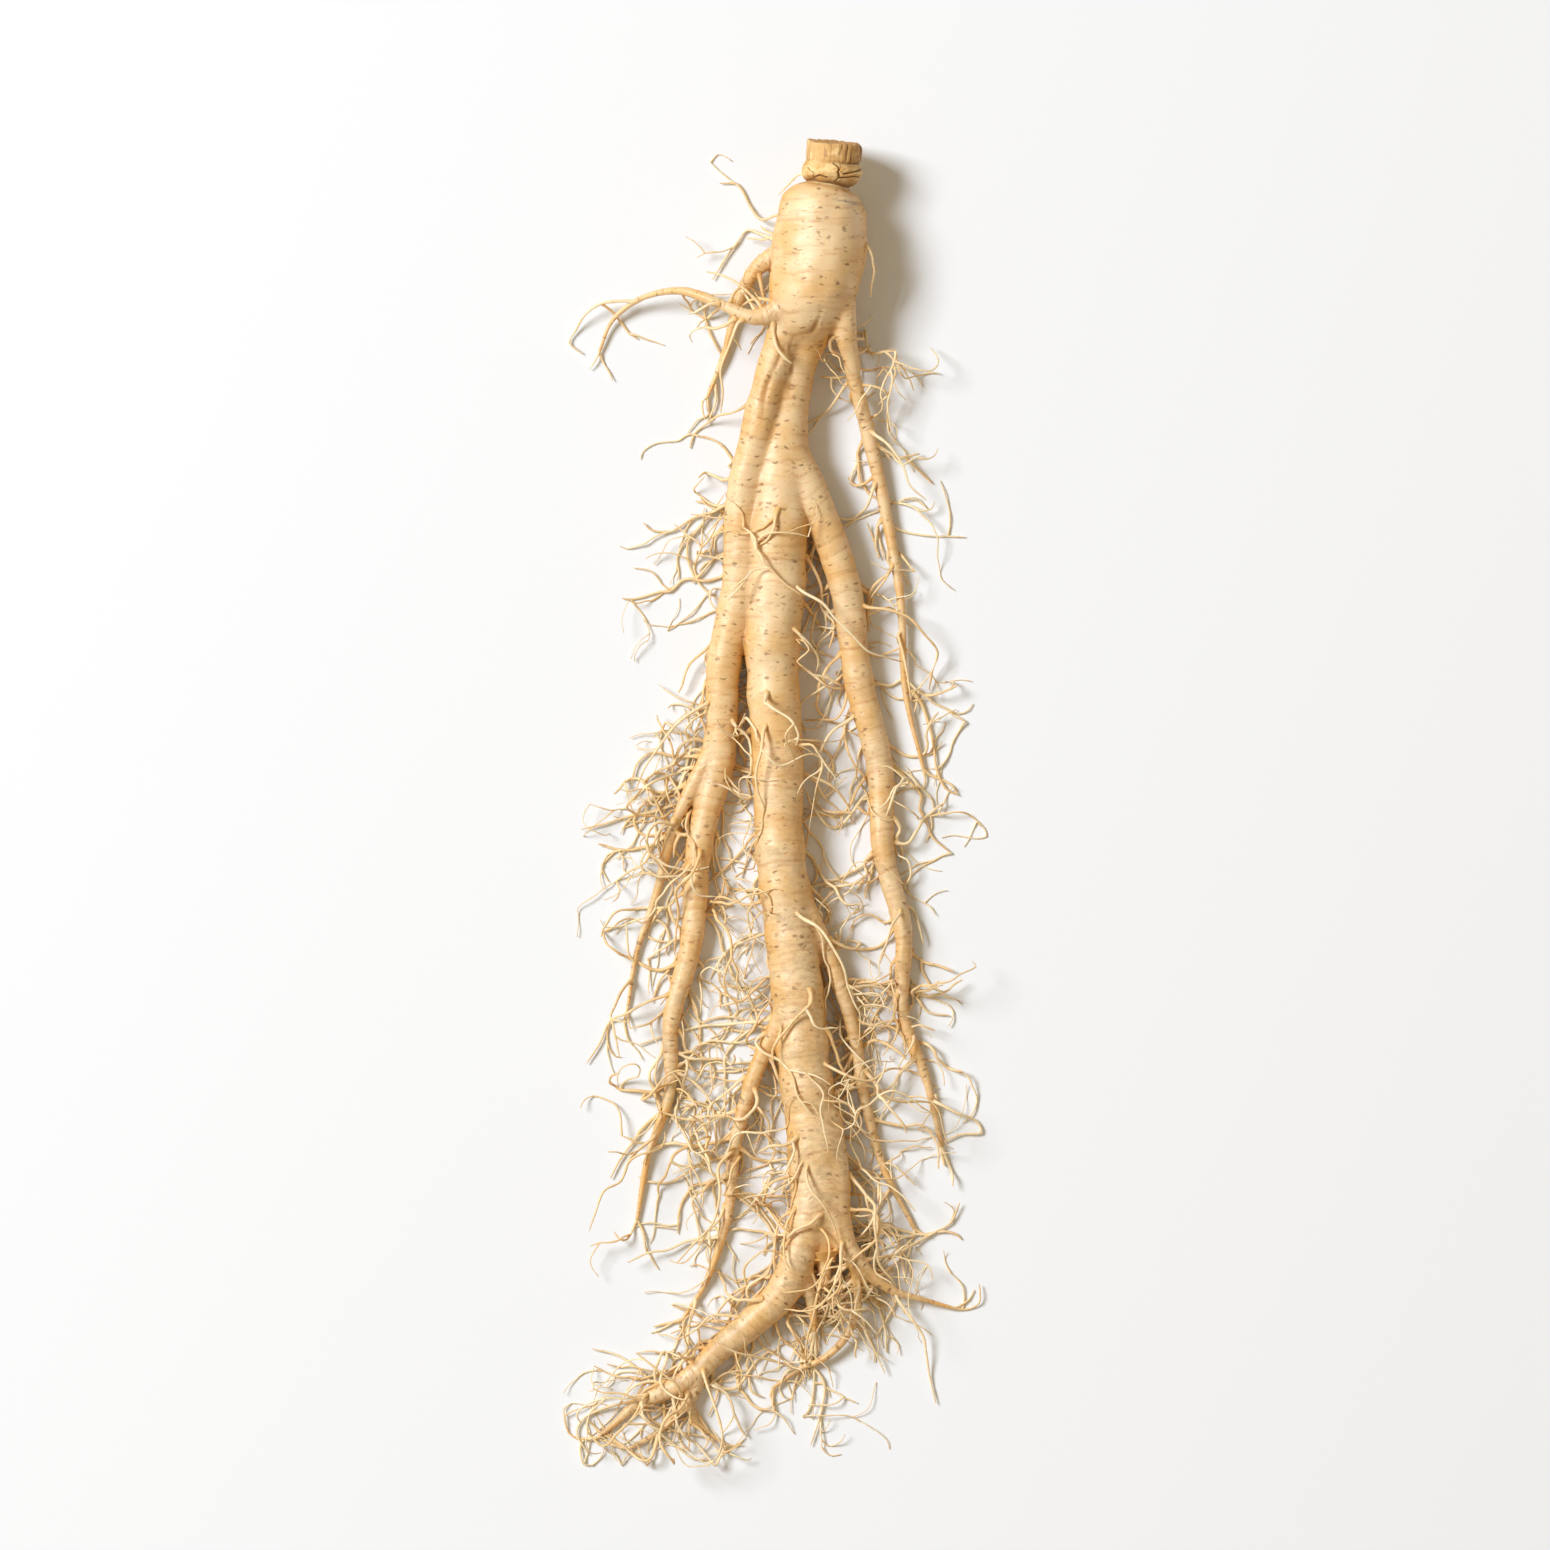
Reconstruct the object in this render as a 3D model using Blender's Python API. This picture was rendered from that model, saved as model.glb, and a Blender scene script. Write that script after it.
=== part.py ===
"""A fresh ginseng root lying on its side: one solid that grew as one piece.

It runs along Y with its crown at +Y: a cut stem stub, a wrinkled collar and a narrow neck stand on a
barrel-shaped body, which forks into legs. The legs fork again into tails, and fine rootlets grow
from all of them. +Z is up. The origin is at the centre of the bottom of the root's box, and the
root rests on flat spots at z = 0, pressed under the body and the legs.

Routes are drawn in millimetres, with x = 0 at the neck's foot and y = 0 half way along the root.
"""

import math
import random

import bmesh
import bpy
import numpy as np
from mathutils import Matrix, Vector, noise

MM = 0.001

# Driving dimensions, in millimetres
CROWN_TOP = 143.4        # y of the stub's cut end: the root is about 288 long from here to its tails
STUB_RADIUS = 6.0
COLLAR_RADIUS = 6.6
NECK_RADIUS = 4.7
BODY_RADIUS = 10.3
BODY_SIDES = 26
RING_PITCH = 1.7         # distance between rings of points down the body
ROUTE_STEP = 5.8         # distance between points down a leg
SEED = 41

# Rootlets, at true size
ROOTLET_RADIUS = 0.42
ROOTLET_TIP_RADIUS = 0.2
ROOTLET_STEP = 5.0
ROOTLET_STEPS = (4, 7)
ROOTLET_KINK = 0.36
TAILWARD = np.array((0.0, -0.22, 0.0))
SAG = np.array((0.0, 0.0, -0.28))
GROUND_DEPTH = 20.0
LOWEST_ROOTLET = 0.35    # clearance of a rootlet's underside above the surface
NET_MARGIN = (6.0, 2.5)  # how far rootlets reach past the span of the thicker roots, across and along
GOLDEN_ANGLE = 2.4

# How far down each root the first rootlet grows, as a share of the root's length
USUAL_FIRST_ROOTLET = 0.12
FIRST_ROOTLET = {"trunk": 0.2, "left_leg": 0.2, "right_leg": 0.16, "left_tail": 0.3, "right_tail": 0.4}

ROOT_COLOUR = (0.80, 0.58, 0.30, 1.0)
ROOT_ROUGHNESS = 0.6

# The crown and body, from the cut end down: distance below CROWN_TOP, radius
BODY_PROFILE = [
    (0.9, 0.0), (0.8, 2.6), (0.3, 4.6), (0.0, 5.4), (0.5, 0.96 * STUB_RADIUS),
    (2.2, STUB_RADIUS), (4.6, 1.03 * STUB_RADIUS), (6.2, COLLAR_RADIUS), (7.8, COLLAR_RADIUS),
    (9.0, 0.86 * COLLAR_RADIUS), (9.7, NECK_RADIUS), (10.3, NECK_RADIUS), (11.0, 0.68 * BODY_RADIUS),
    (12.0, 0.8 * BODY_RADIUS), (13.8, 0.89 * BODY_RADIUS), (16.0, 0.95 * BODY_RADIUS),
    (19.5, 0.985 * BODY_RADIUS), (23.5, BODY_RADIUS), (28.0, 0.985 * BODY_RADIUS),
    (32.0, 0.95 * BODY_RADIUS), (35.5, 0.91 * BODY_RADIUS), (38.5, 0.82 * BODY_RADIUS),
    (41.5, 0.66 * BODY_RADIUS), (44.0, 0.42 * BODY_RADIUS), (45.6, 0.0),
]

# The body's axis: x, y, z
BODY_AXIS = [
    (2.6, 144.0, 11.9), (1.8, 136.5, 11.2), (1.3, 133.5, 10.6), (0.4, 131.0, 10.0),
    (-0.3, 124.0, 9.8), (-0.9, 117.0, 9.8), (-2.1, 110.0, 9.8), (-3.6, 103.0, 9.2), (-5.4, 97.0, 8.4),
]
CUT_SLOPE_X, CUT_SLOPE_Z = -0.16, -0.1   # the cut end leans to the right and faces a little upwards
CUT_LEAN_DEPTH = 10.0                    # the lean fades out this far below the cut

# Each root's route from inside what it grows from to its tip: x, y, z, radius
ROOTS = {
    "trunk": [
        (-2.2, 110.4, 9.4, 8.0), (-3.4, 104.9, 7.9, 6.7), (-4.9, 98.3, 6.6, 5.5),
        (-6.6, 92.0, 5.8, 5.0), (-8.0, 81.8, 5.6, 5.4), (-9.8, 66.0, 6.0, 6.2), (-10.2, 48.0, 6.1, 6.4),
        (-11.2, 28.0, 5.9, 6.0), (-10.0, 6.0, 5.8, 5.7), (-9.4, -14.0, 6.0, 5.5),
        (-6.0, -41.4, 5.7, 5.6), (-3.4, -67.8, 5.5, 5.6), (-0.8, -84.0, 5.6, 5.0),
        (-0.2, -93.0, 5.8, 4.0), (0.0, -100.5, 5.6, 2.2),
    ],
    "left_leg": [
        (-7.0, 109.1, 10.8, 3.8), (-8.2, 102.7, 10.7, 3.8), (-9.9, 96.8, 10.1, 3.7),
        (-11.6, 91.5, 9.4, 3.5), (-14.4, 80.0, 8.2, 3.6), (-17.8, 64.0, 6.7, 3.8),
        (-18.6, 46.0, 5.2, 3.7), (-21.9, 28.0, 4.4, 3.6), (-22.8, 8.0, 2.9, 3.4),
        (-27.4, -12.0, 2.7, 3.0), (-28.8, -32.0, 2.8, 2.5), (-33.4, -50.0, 2.3, 1.9),
        (-33.8, -66.0, 1.7, 1.3), (-38.5, -80.0, 1.2, 0.8), (-41.0, -94.0, 0.8, 0.4),
    ],
    "right_leg": [
        (-7.0, 74.0, 6.6, 4.2), (-3.0, 66.0, 6.6, 3.9), (1.4, 56.0, 5.8, 3.6), (5.4, 42.0, 4.6, 3.4),
        (7.6, 25.0, 3.5, 3.2), (12.4, 6.0, 2.5, 2.9), (13.2, -13.0, 3.2, 2.5), (17.6, -31.0, 3.0, 2.0),
        (17.4, -48.0, 2.2, 1.5), (22.6, -63.0, 1.6, 1.0), (26.0, -78.0, 0.9, 0.5),
    ],
    "front_leg": [
        (3.5, 110.4, 11.5, 2.9), (4.4, 106.0, 11.8, 2.7), (4.8, 100.5, 10.6, 2.4),
        (5.9, 95.7, 8.6, 2.0), (6.8, 90.6, 6.6, 1.7), (9.6, 79.6, 3.6, 1.5), (13.6, 62.0, 2.0, 1.3),
        (17.0, 42.2, 2.4, 1.0), (18.0, 22.4, 1.8, 0.7), (22.0, 5.0, 1.0, 0.4),
    ],
    "arm": [
        (-6.2, 107.6, 12.5, 3.2), (-9.9, 105.8, 13.4, 2.7), (-13.2, 104.3, 13.6, 2.2),
        (-16.5, 104.3, 13.6, 1.9), (-20.9, 106.3, 13.0, 1.6), (-26.6, 108.7, 11.6, 1.35),
        (-31.2, 110.0, 9.6, 1.1), (-36.5, 109.6, 6.6, 0.85), (-41.8, 107.6, 3.6, 0.7),
        (-46.6, 103.4, 1.8, 0.55), (-49.3, 96.8, 0.9, 0.35),
    ],
    "shoulder_root": [
        (-5.2, 120.4, 7.8, 2.4), (-8.4, 119.1, 6.8, 2.3), (-11.4, 117.5, 5.6, 2.0),
        (-14.5, 115.0, 4.4, 1.7), (-17.2, 111.3, 3.0, 1.5), (-19.4, 105.5, 1.8, 1.2),
        (-21.5, 97.1, 1.3, 0.8), (-25.5, 87.0, 0.9, 0.4),
    ],
    "left_side_root": [
        (-23.6, 12.0, 3.6, 2.0), (-28.0, 3.0, 3.4, 1.6), (-33.0, -8.0, 2.6, 1.25),
        (-36.6, -22.0, 1.7, 0.95), (-41.0, -35.0, 1.0, 0.6), (-43.0, -47.0, 0.8, 0.35),
    ],
    "low_right_root": [
        (-8.0, -18.0, 6.6, 2.5), (-3.6, -26.0, 6.6, 2.1), (2.0, -38.0, 5.0, 1.8),
        (6.5, -52.0, 3.0, 1.5), (9.0, -67.0, 1.8, 1.2), (13.0, -82.0, 1.3, 0.9),
        (20.0, -96.0, 0.9, 0.45),
    ],
    "low_left_root": [
        (-5.5, -43.0, 5.8, 2.6), (-10.5, -52.0, 5.4, 2.1), (-15.5, -63.0, 4.0, 1.7),
        (-19.5, -78.0, 2.4, 1.4), (-21.0, -93.0, 1.6, 1.1), (-25.5, -107.0, 1.2, 0.7),
        (-31.0, -116.0, 0.8, 0.4),
    ],
    "left_tail": [
        (-4.0, -72.0, 5.7, 4.0), (-3.0, -84.0, 5.8, 4.4), (-2.8, -91.0, 5.9, 4.3),
        (-3.8, -96.6, 6.0, 4.0), (-5.6, -102.4, 5.7, 3.6), (-9.2, -110.0, 4.8, 3.15),
        (-15.6, -116.6, 3.6, 2.6), (-22.7, -122.3, 3.0, 2.2), (-29.0, -128.3, 2.4, 1.6),
        (-35.2, -132.0, 1.8, 1.25), (-41.1, -134.6, 1.6, 1.0), (-45.8, -138.8, 1.1, 0.65),
        (-49.9, -142.1, 0.8, 0.4),
    ],
    "right_tail": [
        (0.8, -72.0, 5.8, 3.4), (2.4, -84.0, 6.0, 3.4), (2.9, -92.0, 6.4, 3.0), (4.4, -98.6, 6.6, 2.5),
        (7.7, -103.6, 6.2, 1.95), (11.2, -106.9, 5.2, 1.35), (15.8, -109.8, 3.8, 0.95),
        (21.6, -111.5, 2.2, 0.65), (28.6, -113.5, 1.0, 0.35),
    ],
    "tail_spur": [
        (-4.8, -102.5, 5.4, 2.1), (-3.8, -107.5, 4.6, 1.7), (-2.6, -112.5, 3.6, 1.2),
        (-2.0, -118.5, 2.0, 0.6),
    ],
    "right_tail_fork": [
        (7.0, -103.2, 6.0, 1.5), (7.6, -109.0, 4.8, 1.2), (7.3, -114.0, 3.6, 1.05),
        (4.8, -120.0, 2.8, 0.9), (0.0, -124.6, 2.0, 0.8), (-5.5, -127.0, 1.4, 0.6),
        (-11.0, -131.0, 1.0, 0.4),
    ],
    "left_tail_fork": [
        (-26.4, -126.2, 2.5, 1.5), (-28.6, -132.4, 2.2, 1.15), (-31.9, -136.2, 1.8, 0.95),
        (-36.5, -140.8, 1.2, 0.6), (-42.5, -144.3, 0.8, 0.35),
    ],
    "last_fork": [
        (-29.6, -133.4, 2.0, 0.95), (-28.4, -137.6, 1.6, 0.8), (-25.6, -140.8, 1.2, 0.6),
        (-21.4, -143.6, 0.8, 0.35),
    ],
}

# How many rootlets grow from each root
ROOTLET_COUNTS = {
    "body": 4, "trunk": 12, "left_leg": 12, "right_leg": 10, "front_leg": 5, "arm": 4, "shoulder_root": 3,
    "left_side_root": 4, "low_right_root": 6, "low_left_root": 7, "left_tail": 10, "right_tail": 4,
    "right_tail_fork": 4, "left_tail_fork": 2,
}

# Sides of the tubes, from the thickest root to the thinnest: least starting radius, bevel_resolution
TUBE_ROUNDNESS = [(5.0, 4), (3.0, 3), (2.0, 2), (0.0, 1)]


def clear_scene():
    for old in list(bpy.data.objects):
        bpy.data.objects.remove(old)


def new_collection(name):
    made = bpy.data.collections.new(name)
    bpy.context.scene.collection.children.link(made)
    return made


def catmull_rom(points, step):
    """A smooth line through the points, with a new point about every step."""
    ends = [[2 * a - b for a, b in zip(points[0], points[1])],
            [2 * a - b for a, b in zip(points[-1], points[-2])]]
    line = [ends[0], *points, ends[1]]
    samples = []
    for before, start, end, after in zip(line, line[1:], line[2:], line[3:]):
        count = max(1, round(math.dist(start[:3], end[:3]) / step))
        for i in range(count):
            t = i / count
            samples.append([
                b + 0.5 * t * (c - a + t * (2 * a - 5 * b + 4 * c - d + t * (3 * b - a - 3 * c + d)))
                for a, b, c, d in zip(before, start, end, after)
            ])
    samples.append(list(points[-1]))
    return samples


def body_centre(y):
    """The point of the body's axis at a given y."""
    ys = [-point[1] for point in BODY_AXIS]
    return tuple(float(np.interp(-y, ys, [point[i] for point in BODY_AXIS])) for i in range(3))


def relief(depth, angle):
    """How far the skin stands out, at a depth below the cut end and an angle round the axis."""
    place = Vector((math.cos(angle), math.sin(angle), depth))
    if depth < 5.2:
        return 0.28 * math.cos(11 * angle + 0.4 * depth) + 0.16 * math.cos(17 * angle + 1.3)
    if depth < 9.4:
        return 0.3 * math.sin(3 * angle + 2.2 * depth) + 0.2 * math.sin(7 * angle - 1.5 * depth)
    lumps = 0.5 * noise.noise(Vector((1.3 * place.x, 1.3 * place.y, 0.16 * depth)))
    rings = 0.16 * math.sin(2.1 * depth + 1.2 * math.sin(angle + 0.35 * depth))
    fade = min(1.0, (depth - 9.4) / 5)
    return fade * (lumps + rings)


def crown_and_body():
    """The stub, collar, neck and body: one turned shape with its relief, set on the body's axis."""
    profile = catmull_rom([(depth, radius, 0.0) for depth, radius in BODY_PROFILE], RING_PITCH)
    mesh = bpy.data.meshes.new("crown_and_body")
    work = bmesh.new()
    line = [work.verts.new((max(0.0, radius), 0.0, -depth)) for depth, radius, _ in profile]
    line[0].co.x = line[-1].co.x = 0.0
    edges = [work.edges.new(pair) for pair in zip(line, line[1:])]
    bmesh.ops.spin(work, geom=line + edges, cent=(0, 0, 0), axis=(0, 0, 1), angle=math.tau,
                   steps=BODY_SIDES, use_merge=True)
    bmesh.ops.remove_doubles(work, verts=work.verts, dist=1e-4)
    bmesh.ops.recalc_face_normals(work, faces=work.faces)
    for vert in work.verts:
        depth, radius = -vert.co.z, math.hypot(vert.co.x, vert.co.y)
        angle = math.atan2(vert.co.y, vert.co.x)
        radius += relief(depth, angle) * min(1.0, radius / STUB_RADIUS)
        across, up = radius * math.cos(angle), radius * math.sin(angle)
        lean = max(0.0, 1 - depth / CUT_LEAN_DEPTH)
        y = CROWN_TOP - depth + lean * (CUT_SLOPE_X * across + CUT_SLOPE_Z * up)
        x, _, z = body_centre(CROWN_TOP - depth)
        vert.co = Vector((x + across, y, z + up)) * MM
    bmesh.ops.recalc_face_normals(work, faces=work.faces)
    work.to_mesh(mesh)
    work.free()
    return bpy.data.objects.new("crown_and_body", mesh)


def body_route():
    """The thick of the body as a route, for the rootlets."""
    thick = [(depth, radius) for depth, radius in BODY_PROFILE if 0.75 * BODY_RADIUS < radius]
    return [(*body_centre(CROWN_TOP - depth), radius) for depth, radius in thick]


def tube(name, route, bevel_resolution):
    """A tapering round tube along x, y, z, radius points, made a closed mesh."""
    curve = bpy.data.curves.new(name, "CURVE")
    curve.dimensions = "3D"
    curve.bevel_depth = MM
    curve.bevel_resolution = bevel_resolution
    curve.use_fill_caps = True
    spline = curve.splines.new("POLY")
    spline.points.add(len(route) - 1)
    for point, (x, y, z, radius) in zip(spline.points, route):
        point.co = (x * MM, y * MM, z * MM, 1.0)
        point.radius = radius
    guide = bpy.data.objects.new(name, curve)
    bpy.context.scene.collection.objects.link(guide)
    graph = bpy.context.evaluated_depsgraph_get()
    mesh = bpy.data.meshes.new_from_object(guide.evaluated_get(graph))
    bpy.data.objects.remove(guide)
    work = bmesh.new()
    work.from_mesh(mesh)
    bmesh.ops.remove_doubles(work, verts=work.verts, dist=1e-6)
    bmesh.ops.recalc_face_normals(work, faces=work.faces)
    work.to_mesh(mesh)
    work.free()
    return bpy.data.objects.new(name, mesh)


def unit(vector):
    return vector / max(1e-9, float(np.linalg.norm(vector)))


def rootlet_route(rng, route, share, turn, flesh):
    """A kinked, sagging route that starts inside a root, a share of the way down it."""
    index = min(len(route) - 2, int(share * (len(route) - 1)))
    parent = np.array(route[index])
    along = unit(np.array(route[index + 1][:3]) - parent[:3])
    side = unit(np.cross(along, (0.0, 0.0, 1.0)))
    out = math.cos(turn) * side + math.sin(turn) * np.cross(side, along)
    place = parent[:3] + 0.35 * parent[3] * out
    heading = unit(out + 0.5 * along)
    low = flesh[:, :3].min(axis=0) - (*NET_MARGIN, GROUND_DEPTH)
    high = flesh[:, :3].max(axis=0) + (*NET_MARGIN, GROUND_DEPTH)
    steps = rng.randint(*ROOTLET_STEPS)
    stations = [place]
    for i in range(steps):
        length = 0.9 * parent[3] + 0.6 if i == 0 else ROOTLET_STEP * rng.uniform(0.8, 1.2)
        kink = np.array([rng.gauss(0, 1), rng.gauss(0, 1), 0.5 * rng.gauss(0, 1)]) * ROOTLET_KINK
        heading = unit(heading + kink * (i > 0) + TAILWARD * (i > 0) + SAG * (place[2] > 2.0))
        place = place + heading * length
        beyond = (place < low) | (place > high)
        heading = np.where(beyond, -heading, heading)
        place = np.clip(place, low, high)
        if i > 0:
            away = place - flesh[:, :3]
            gap = np.linalg.norm(away, axis=1) - flesh[:, 3] - ROOTLET_RADIUS
            nearest = int(np.argmin(gap))
            if gap[nearest] < 0:
                place = place + unit(away[nearest]) * -gap[nearest]
        place[2] = max(place[2], ROOTLET_RADIUS + LOWEST_ROOTLET)
        stations.append(place)
    count = len(stations)
    return [
        [*spot, ROOTLET_RADIUS + (ROOTLET_TIP_RADIUS - ROOTLET_RADIUS) * i / (count - 1)]
        for i, spot in enumerate(stations)
    ]


def rootlet_routes(routes):
    """Every rootlet's route: spread evenly down each root, and turned round it by the golden angle."""
    rng = random.Random(SEED)
    flesh = np.array([spot for route in routes.values() for spot in route])
    made = []
    for name, count in ROOTLET_COUNTS.items():
        first = FIRST_ROOTLET.get(name, USUAL_FIRST_ROOTLET)
        for i in range(count):
            share = first + (0.97 - first) * (i + rng.uniform(0.1, 0.9)) / count
            turn = GOLDEN_ANGLE * i + rng.uniform(-0.4, 0.4)
            made.append(rootlet_route(rng, routes[name], share, turn, flesh))
    return made


def swollen(route, seed):
    """The route with its radius swelling and pinching a little, as the legs of a real root do."""
    return [
        [x, y, z, radius * (1 + 0.09 * noise.noise(Vector((0.21 * x, 0.21 * y, seed))))]
        for x, y, z, radius in route
    ]


def grow(body, pieces):
    """The body and everything that grows from it, joined in one solid."""
    grown = new_collection("grown_from_the_body")
    for piece in pieces:
        grown.objects.link(piece)
    union = body.modifiers.new("grown together", "BOOLEAN")
    union.operation, union.operand_type, union.collection = "UNION", "COLLECTION", grown
    graph = bpy.context.evaluated_depsgraph_get()
    whole = bpy.data.meshes.new_from_object(body.evaluated_get(graph))
    for used in [body, *grown.objects]:
        bpy.data.objects.remove(used)
    bpy.data.collections.remove(grown)
    return whole


def press_flat(whole):
    """Cut off what lies under the surface, so that the root rests on flat spots at z = 0."""
    bpy.ops.mesh.primitive_cube_add(size=1.0, location=(0, 0, -0.5 * GROUND_DEPTH * MM))
    ground = bpy.context.object
    ground.data.transform(Matrix.Diagonal((0.4, 0.6, GROUND_DEPTH * MM, 1.0)))
    cut = whole.modifiers.new("resting flats", "BOOLEAN")
    cut.operation, cut.object = "DIFFERENCE", ground
    graph = bpy.context.evaluated_depsgraph_get()
    pressed = bpy.data.meshes.new_from_object(whole.evaluated_get(graph))
    whole.modifiers.clear()
    whole.data = pressed
    bpy.data.objects.remove(ground)


def centre_on_its_box(mesh):
    """Move the mesh so that the origin is at the centre of the bottom of its box."""
    corners = [vert.co for vert in mesh.vertices]
    middle = [0.5 * (min(c[i] for c in corners) + max(c[i] for c in corners)) for i in range(2)]
    mesh.transform(Matrix.Translation((-middle[0], -middle[1], -min(c[2] for c in corners))))


def root_material():
    skin = bpy.data.materials.new("root_skin")
    skin.use_nodes = True
    shader = skin.node_tree.nodes["Principled BSDF"]
    shader.inputs["Base Color"].default_value = ROOT_COLOUR
    shader.inputs["Roughness"].default_value = ROOT_ROUGHNESS
    shader.inputs["Metallic"].default_value = 0.0
    return skin


def main():
    clear_scene()
    root = new_collection("ginseng_root")
    body = crown_and_body()
    root.objects.link(body)
    routes = {
        name: swollen(catmull_rom(stations, ROUTE_STEP), number)
        for number, (name, stations) in enumerate(ROOTS.items())
    }
    pieces = []
    for name, route in routes.items():
        roundness = next(sides for least, sides in TUBE_ROUNDNESS if route[0][3] >= least)
        pieces.append(tube(name, route, roundness))
    for route in rootlet_routes({"body": body_route(), **routes}):
        pieces.append(tube("rootlet", route, 0))
    ginseng = bpy.data.objects.new("ginseng_root", grow(body, pieces))
    root.objects.link(ginseng)
    press_flat(ginseng)
    centre_on_its_box(ginseng.data)
    ginseng.data.materials.append(root_material())
    ginseng.data.shade_smooth()
    ginseng.data.set_sharp_from_angle(angle=math.radians(50))


main()
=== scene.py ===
"""A fresh ginseng root with all its rootlets, lying on a pale surface and seen from straight above."""

import math
import random

import bpy
import numpy as np
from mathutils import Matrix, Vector, noise


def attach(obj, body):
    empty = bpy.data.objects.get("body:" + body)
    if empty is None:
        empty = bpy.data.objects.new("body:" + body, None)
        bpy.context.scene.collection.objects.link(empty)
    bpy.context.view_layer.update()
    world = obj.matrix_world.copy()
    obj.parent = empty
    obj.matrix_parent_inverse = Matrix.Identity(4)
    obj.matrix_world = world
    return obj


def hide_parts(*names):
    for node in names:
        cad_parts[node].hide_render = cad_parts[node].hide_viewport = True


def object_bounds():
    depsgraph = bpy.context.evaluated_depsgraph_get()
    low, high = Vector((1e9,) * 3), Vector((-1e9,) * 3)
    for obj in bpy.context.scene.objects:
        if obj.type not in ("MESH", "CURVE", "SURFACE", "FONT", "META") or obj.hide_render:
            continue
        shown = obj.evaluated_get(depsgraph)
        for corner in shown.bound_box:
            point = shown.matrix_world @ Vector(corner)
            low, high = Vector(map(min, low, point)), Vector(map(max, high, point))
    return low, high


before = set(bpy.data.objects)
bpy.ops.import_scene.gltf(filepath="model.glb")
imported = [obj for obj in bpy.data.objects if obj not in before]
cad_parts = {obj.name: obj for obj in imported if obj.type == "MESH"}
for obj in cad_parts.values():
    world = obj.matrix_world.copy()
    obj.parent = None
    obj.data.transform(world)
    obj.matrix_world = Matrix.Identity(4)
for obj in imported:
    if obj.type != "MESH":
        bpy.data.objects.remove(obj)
cad_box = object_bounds()
MM = 0.001

# The surface that the root lies on, with the camera straight above it.
# It is a wide, plain, matt sheet, so that the root is all there is to see.
FLOOR_COLOUR = (0.83, 0.888, 0.978, 1.0)
FLOOR_ROUGHNESS = 0.9
FLOOR_SIZE = 6.0
CAMERA_HEIGHT = 4.0                # so high that the picture has hardly any perspective
VIEW_WIDTH = 0.341                 # the picture's width on the floor: 1550 pixels of 0.22 mm
VIEW_CENTRE = (0.0, 0.0051)

bpy.ops.mesh.primitive_plane_add(size=FLOOR_SIZE)
floor = bpy.context.object
floor.name = "floor"
paint = bpy.data.materials.new("matt_floor")
paint.use_nodes = True
paint.node_tree.nodes["Principled BSDF"].inputs["Base Color"].default_value = FLOOR_COLOUR
paint.node_tree.nodes["Principled BSDF"].inputs["Roughness"].default_value = FLOOR_ROUGHNESS
floor.data.materials.append(paint)

camera = bpy.data.objects.new("camera", bpy.data.cameras.new("camera"))
bpy.context.scene.collection.objects.link(camera)
camera.location = (*VIEW_CENTRE, CAMERA_HEIGHT)
camera.data.lens = camera.data.sensor_width * CAMERA_HEIGHT / VIEW_WIDTH
bpy.context.scene.camera = camera

# Soft studio light: one big lamp at the upper left, a weak warm one at the lower right, and a pale,
# warm room all round. The floor is a little blue, so that it looks a plain white in that light.
LAMPS = {
    "key_lamp": {"place": (-2.0, 1.0, 2.3), "size": 1.1, "watts": 108.0, "colour": (1.0, 1.0, 1.0)},
    "fill_lamp": {"place": (1.6, -0.9, 1.8), "size": 2.0, "watts": 6.0, "colour": (1.0, 0.66, 0.34)},
}
ROOM_LIGHT = 0.34
ROOM_COLOUR = (1.0, 0.83, 0.58, 1.0)

for name, lamp in LAMPS.items():
    light = bpy.data.lights.new(name, "AREA")
    light.size, light.energy, light.color = lamp["size"], lamp["watts"], lamp["colour"]
    placed = bpy.data.objects.new(name, light)
    placed.location = lamp["place"]
    placed.rotation_euler = (-Vector(lamp["place"])).to_track_quat("-Z", "Y").to_euler()
    bpy.context.scene.collection.objects.link(placed)
world = bpy.data.worlds.new("pale_room")
world.use_nodes = True
world.node_tree.nodes["Background"].inputs["Color"].default_value = ROOM_COLOUR
world.node_tree.nodes["Background"].inputs["Strength"].default_value = ROOM_LIGHT
bpy.context.scene.world = world
bpy.context.scene.view_settings.view_transform = "Standard"


# The flesh: the barrel-shaped body and every thick root that grows from it, one smooth skin of
# living root with filled forks. Each root follows its route from inside what it grows from, and the
# tubes along the routes are fused and drawn onto one even surface: x, y, z and radius in millimetres.
ROUTE_ORIGIN = (10.65, 1.34)       # where the routes' x = 0 and y = 0 lie in the frame, in millimetres
CROWN_TOP = 143.4
BODY_RADIUS = 10.3
BODY_PROFILE = [
    (7.2, 0.4), (7.3, 2.4), (7.8, 3.9), (8.6, 4.5), (9.6, 4.7), (10.3, 5.2), (10.8, 6.5), (11.4, 7.5),
    (12.3, 8.3), (13.8, 9.1), (16.0, 9.75), (19.5, 10.15), (23.5, BODY_RADIUS), (28.0, 10.2), (32.0, 9.85),
    (35.5, 9.37), (38.5, 8.45), (41.5, 6.8), (43.6, 4.6), (44.9, 2.4), (45.4, 0.4),
]
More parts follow.
